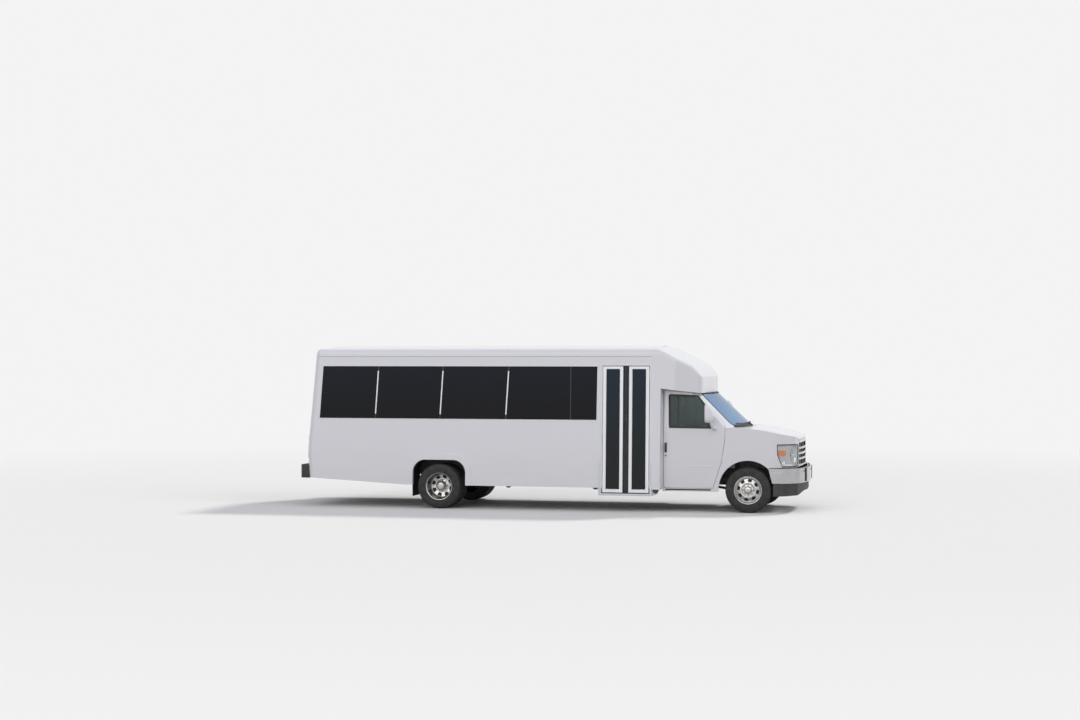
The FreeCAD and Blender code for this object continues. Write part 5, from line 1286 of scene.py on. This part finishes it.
# %% Cap joint
cap_x = 1.808
shell_surface = surface("front_cap", "roof", "right_wall", "left_wall")
z = np.linspace(0.40, 2.50, 40)
right = np.stack([np.full(40, cap_x), -wall_half(z), z], -1)
bend = [(-1.127, 2.545), (-1.118, 2.600), (-1.100, 2.650), (-1.060, 2.690), (-1.000, 2.708),
        (-0.900, 2.713), (-0.5, 2.715), (-0.2, 2.716)]
half_path = np.vstack([right, [(cap_x, y, height) for y, height in bend]])
whole = np.vstack([half_path, (half_path * (1, -1, 1))[::-1]])
joint_spots = onto(shell_surface, even(whole, 0.03))[0]
joint_spots[:, 0] = cap_x
along = unit(np.gradient(joint_spots, axis=0))
joint_ways = np.stack([np.zeros(len(along)), -along[:, 2], along[:, 1]], -1)
joint = sweep(joint_spots, strip(0.007, -0.004, 0.0022, 0.0012), joint_ways)
make("cap_joint", joint, aluminium)
print("cap joint points:", len(joint_spots))

# %% [markdown]
# The rear face leans forward above z = 0.95. The lamps get black bezels, the emergency door
# a rubber seal, a window gasket and a lever handle, the bumper a ribbed tread. All of them
# use the face's formula, so they lean with it, and what belongs to the door rides on it.


# %% Rear face
def on_rear(rows, out=0.0):
    """Points (y, z) on the rear face, moved out backwards."""
    rows = np.asarray(rows, float)
    x = rear_x + 0.140 * np.maximum(0, rows[:, 1] - 0.95) / 1.712
    return np.stack([x - out, rows[:, 0], rows[:, 1]], -1)


rear_normal = unit(np.array([-1.0, 0.0, 0.0818]))
bezels = []
bezel_gap = 0.0035
for side in (-1, 1):
    for foot, top in ((0.820, 0.930), (0.960, 1.070), (1.100, 1.190)):
        ring = oblong(side * 0.9265, side * 1.0735, foot - bezel_gap, top + bezel_gap, 0.008, 4)
        bezels.append(sweep(on_rear(ring), strip(0.008, -0.012, 0.011, 0.002), rear_normal,
                            round_path=True))
make("lamp_bezels", bezels, rubber)
door_ring = even(oblong(-0.387, 0.387, 0.803, 2.307, 0.020, 5), 0.04, True)
make("rear_door_seal", sweep(on_rear(door_ring), strip(0.012, -0.004, 0.0040), rear_normal,
                             round_path=True), rubber)
pane_ring = oblong(-0.287, 0.287, 1.503, 2.197, 0.012, 5)
make("rear_window_gasket", sweep(on_rear(pane_ring), strip(0.014, -0.016, 0.0035), rear_normal,
                                 round_path=True), rubber, "rear_door_body")
plate = oblong(0.285, 0.335, 1.180, 1.320, 0.014, 5)
lever_rows = ((0.310, 1.285, 0.0), (0.310, 1.285, 0.030), (0.300, 1.285, 0.036),
              (0.200, 1.270, 0.034))
lever = even([on_rear([(y, z)], out)[0] for y, z, out in lever_rows], 0.008)
make("rear_door_handle", [pad(plate, on_rear, rear_normal, -0.002, 0.007, 0.003),
                          tube(lever, 0.0085, 12)], dark_plastic, "rear_door_body", angle=50)
bumper_top = 0.699
tread_ribs = [sweep([(x, y, bumper_top) for y in (-1.10, 0, 1.10)], bar(0.008, 0.0045, 0.0015),
                    (0, 0, 1)) for x in np.arange(-4.235, -4.130, 0.0175)]
make("rear_bumper_tread", tread_ribs, rubber)
print("rear: bezels, seals, handle, tread")

# %% [markdown]
# Seats. Each place has a cushion and a back of foam under woven cloth. They start as slightly
# slim prisms; Blender's Cloth swells them by a little pressure, each point's way is capped,
# and the result is copied to every bench. Sculpting them by formula would miss how a cover
# pulls in at its corners. The benches stand on round-edged boxes.


# %% Padding
def prism(rows, y0, y1):
    """A closed outline (x, z) drawn out from y0 to y1."""
    rows = np.asarray(rows, float)
    return closed(np.stack([np.stack([rows[:, 0], np.full(len(rows), y), rows[:, 1]], -1)
                            for y in (y0, y1)]))


cell_size, swell_cap, seam_gap = 0.017, 0.012, 0.008  # metres
cloth_pressure, cloth_frames = 4.0, 20


def puffed(part):
    """A part remeshed into even cells and swollen like foam under its cover. A point moves by
    the way the cloth took, cut off at the cap."""
    obj = bpy.data.objects.new("pad_start", cleaned("pad_start", part))
    bpy.context.scene.collection.objects.link(obj)
    even_cells = obj.modifiers.new("remesh", "REMESH")
    even_cells.mode = "VOXEL"
    even_cells.voxel_size = cell_size
    remeshed = obj.evaluated_get(bpy.context.evaluated_depsgraph_get())
    cells = bpy.data.meshes.new_from_object(remeshed)
    obj.modifiers.clear()
    obj.data = cells
    start = np.empty(len(cells.vertices) * 3)
    cells.vertices.foreach_get("co", start)
    start = start.reshape(-1, 3)
    finish_points = start
    cloth = obj.modifiers.new("cloth", "CLOTH")
    cloth.settings.use_pressure = True
    cloth.settings.uniform_pressure_force = cloth_pressure
    cloth.settings.effector_weights.gravity = 0.0
    cloth.point_cache.frame_end = cloth_frames
    for number in range(1, cloth_frames + 1):
        bpy.context.scene.frame_set(number)
    swollen = obj.evaluated_get(bpy.context.evaluated_depsgraph_get()).data
    finish_points = np.empty(len(swollen.vertices) * 3)
    swollen.vertices.foreach_get("co", finish_points)
    finish_points = finish_points.reshape(-1, 3)
    bpy.context.scene.frame_set(1)
    way = finish_points - start
    length = np.linalg.norm(way, axis=1, keepdims=True)
    result = start + way * np.minimum(1, swell_cap / np.maximum(length, 1e-9))
    quads = [list(p.vertices) for p in cells.polygons]
    square = np.array([q if len(q) == 4 else q + q[-1:] for q in quads])
    bpy.data.objects.remove(obj)
    return result, square


cloth_finish = finish("seat_weave", (0.040, 0.050, 0.085), (0.065, 0.075, 0.115), (0.82, 0.95),
                      patch=60, grain=1600, bump=0.6, depth=0.0010,
                      extra={"Sheen Weight": 0.25, "Sheen Roughness": 0.5})

print("padding: cells of", cell_size, "m, swollen by up to", swell_cap, "m")

# %% [markdown]
# The outlines of a cushion and a back are seen from the side, with the cushion's front edge
# at x = 0 and its top at z = 0. Two kinds of place are padded once each, a bench's and the
# cab's, and every seat takes copies of them, because one simulation for each of the 28
# places would cost minutes and look the same.

# %% Seats
cushion_outline = rounded([(-0.010, -0.100), (-0.010, -0.032), (-0.034, -0.012),
                           (-0.378, -0.030), (-0.430, -0.104)],
                          [0.02, 0.012, 0.03, 0.02, 0.02], 4)
back_outline = rounded([(-0.402, -0.020), (-0.527, 0.612), (-0.552, 0.628), (-0.598, 0.628),
                        (-0.608, 0.612), (-0.484, -0.092), (-0.450, -0.090)],
                       [0.03, 0.015, 0.02, 0.015, 0.015, 0.02, 0.02], 4)
place_width = {"bench": 0.440, "cab": 0.480}
foams = {kind: [puffed(prism(outline, seam_gap, width - seam_gap))
                for outline in (cushion_outline, back_outline)]
         for kind, width in place_width.items()}
first_bench, bench_pitch = -3.180, 0.760
# kind, front edge, side, inner and outer edge across, floor, height of the cushion's top
seat_list = [("bench", first_bench + bench_pitch * i, side, 0.212, 1.092, 0.800, 0.450)
             for side, count in ((-1, 6), (1, 7)) for i in range(count)]
seat_list += [("cab", 2.543, side, 0.380, 0.860, 0.740, 0.330) for side in (1, -1)]
cushions, backs, stands = [], [], []
for kind, x, side, inner_y, outer_y, foot, height in seat_list:
    width, top = place_width[kind], foot + height
    for k in range(int(round((outer_y - inner_y) / width))):
        move = np.array([x, inner_y + k * width, top])
        for target, (points, faces) in zip((cushions, backs), foams[kind]):
            target.append(sided((points + move, faces), side))
    box_rows = rounded([(x - 0.365, foot + 0.001), (x - 0.075, foot + 0.001),
                        (x - 0.060, top - 0.130), (x - 0.030, top - 0.112),
                        (x - 0.425, top - 0.112), (x - 0.380, top - 0.130)], 0.006, 3)
    stands.append(sided(prism(box_rows, inner_y + 0.050, inner_y + 0.250), side))
    pan = rounded([(x - 0.020, top - 0.114), (x - 0.020, top - 0.104), (x - 0.440, top - 0.108),
                   (x - 0.440, top - 0.118)], 0.002, 2)
    stands.append(sided(prism(pan, inner_y + 0.015, outer_y - 0.015), side))
    back_pan = rounded([(x - 0.492, top - 0.085), (x - 0.612, top + 0.600),
                        (x - 0.617, top + 0.600), (x - 0.500, top - 0.088)], 0.001, 2)
    stands.append(sided(prism(back_pan, inner_y + 0.020, outer_y - 0.020), side))
cushion_piece = make("seat_cushions", cushions, cloth_finish, angle=180)
back_piece = make("seat_backs", backs, cloth_finish, angle=180)
for piece in (cushion_piece, back_piece):
    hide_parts("seats")
make("seat_stands", stands, dark_plastic)
print("seats:", len(cushions), "places, cells", sum(len(f) for p, f in cushions + backs))
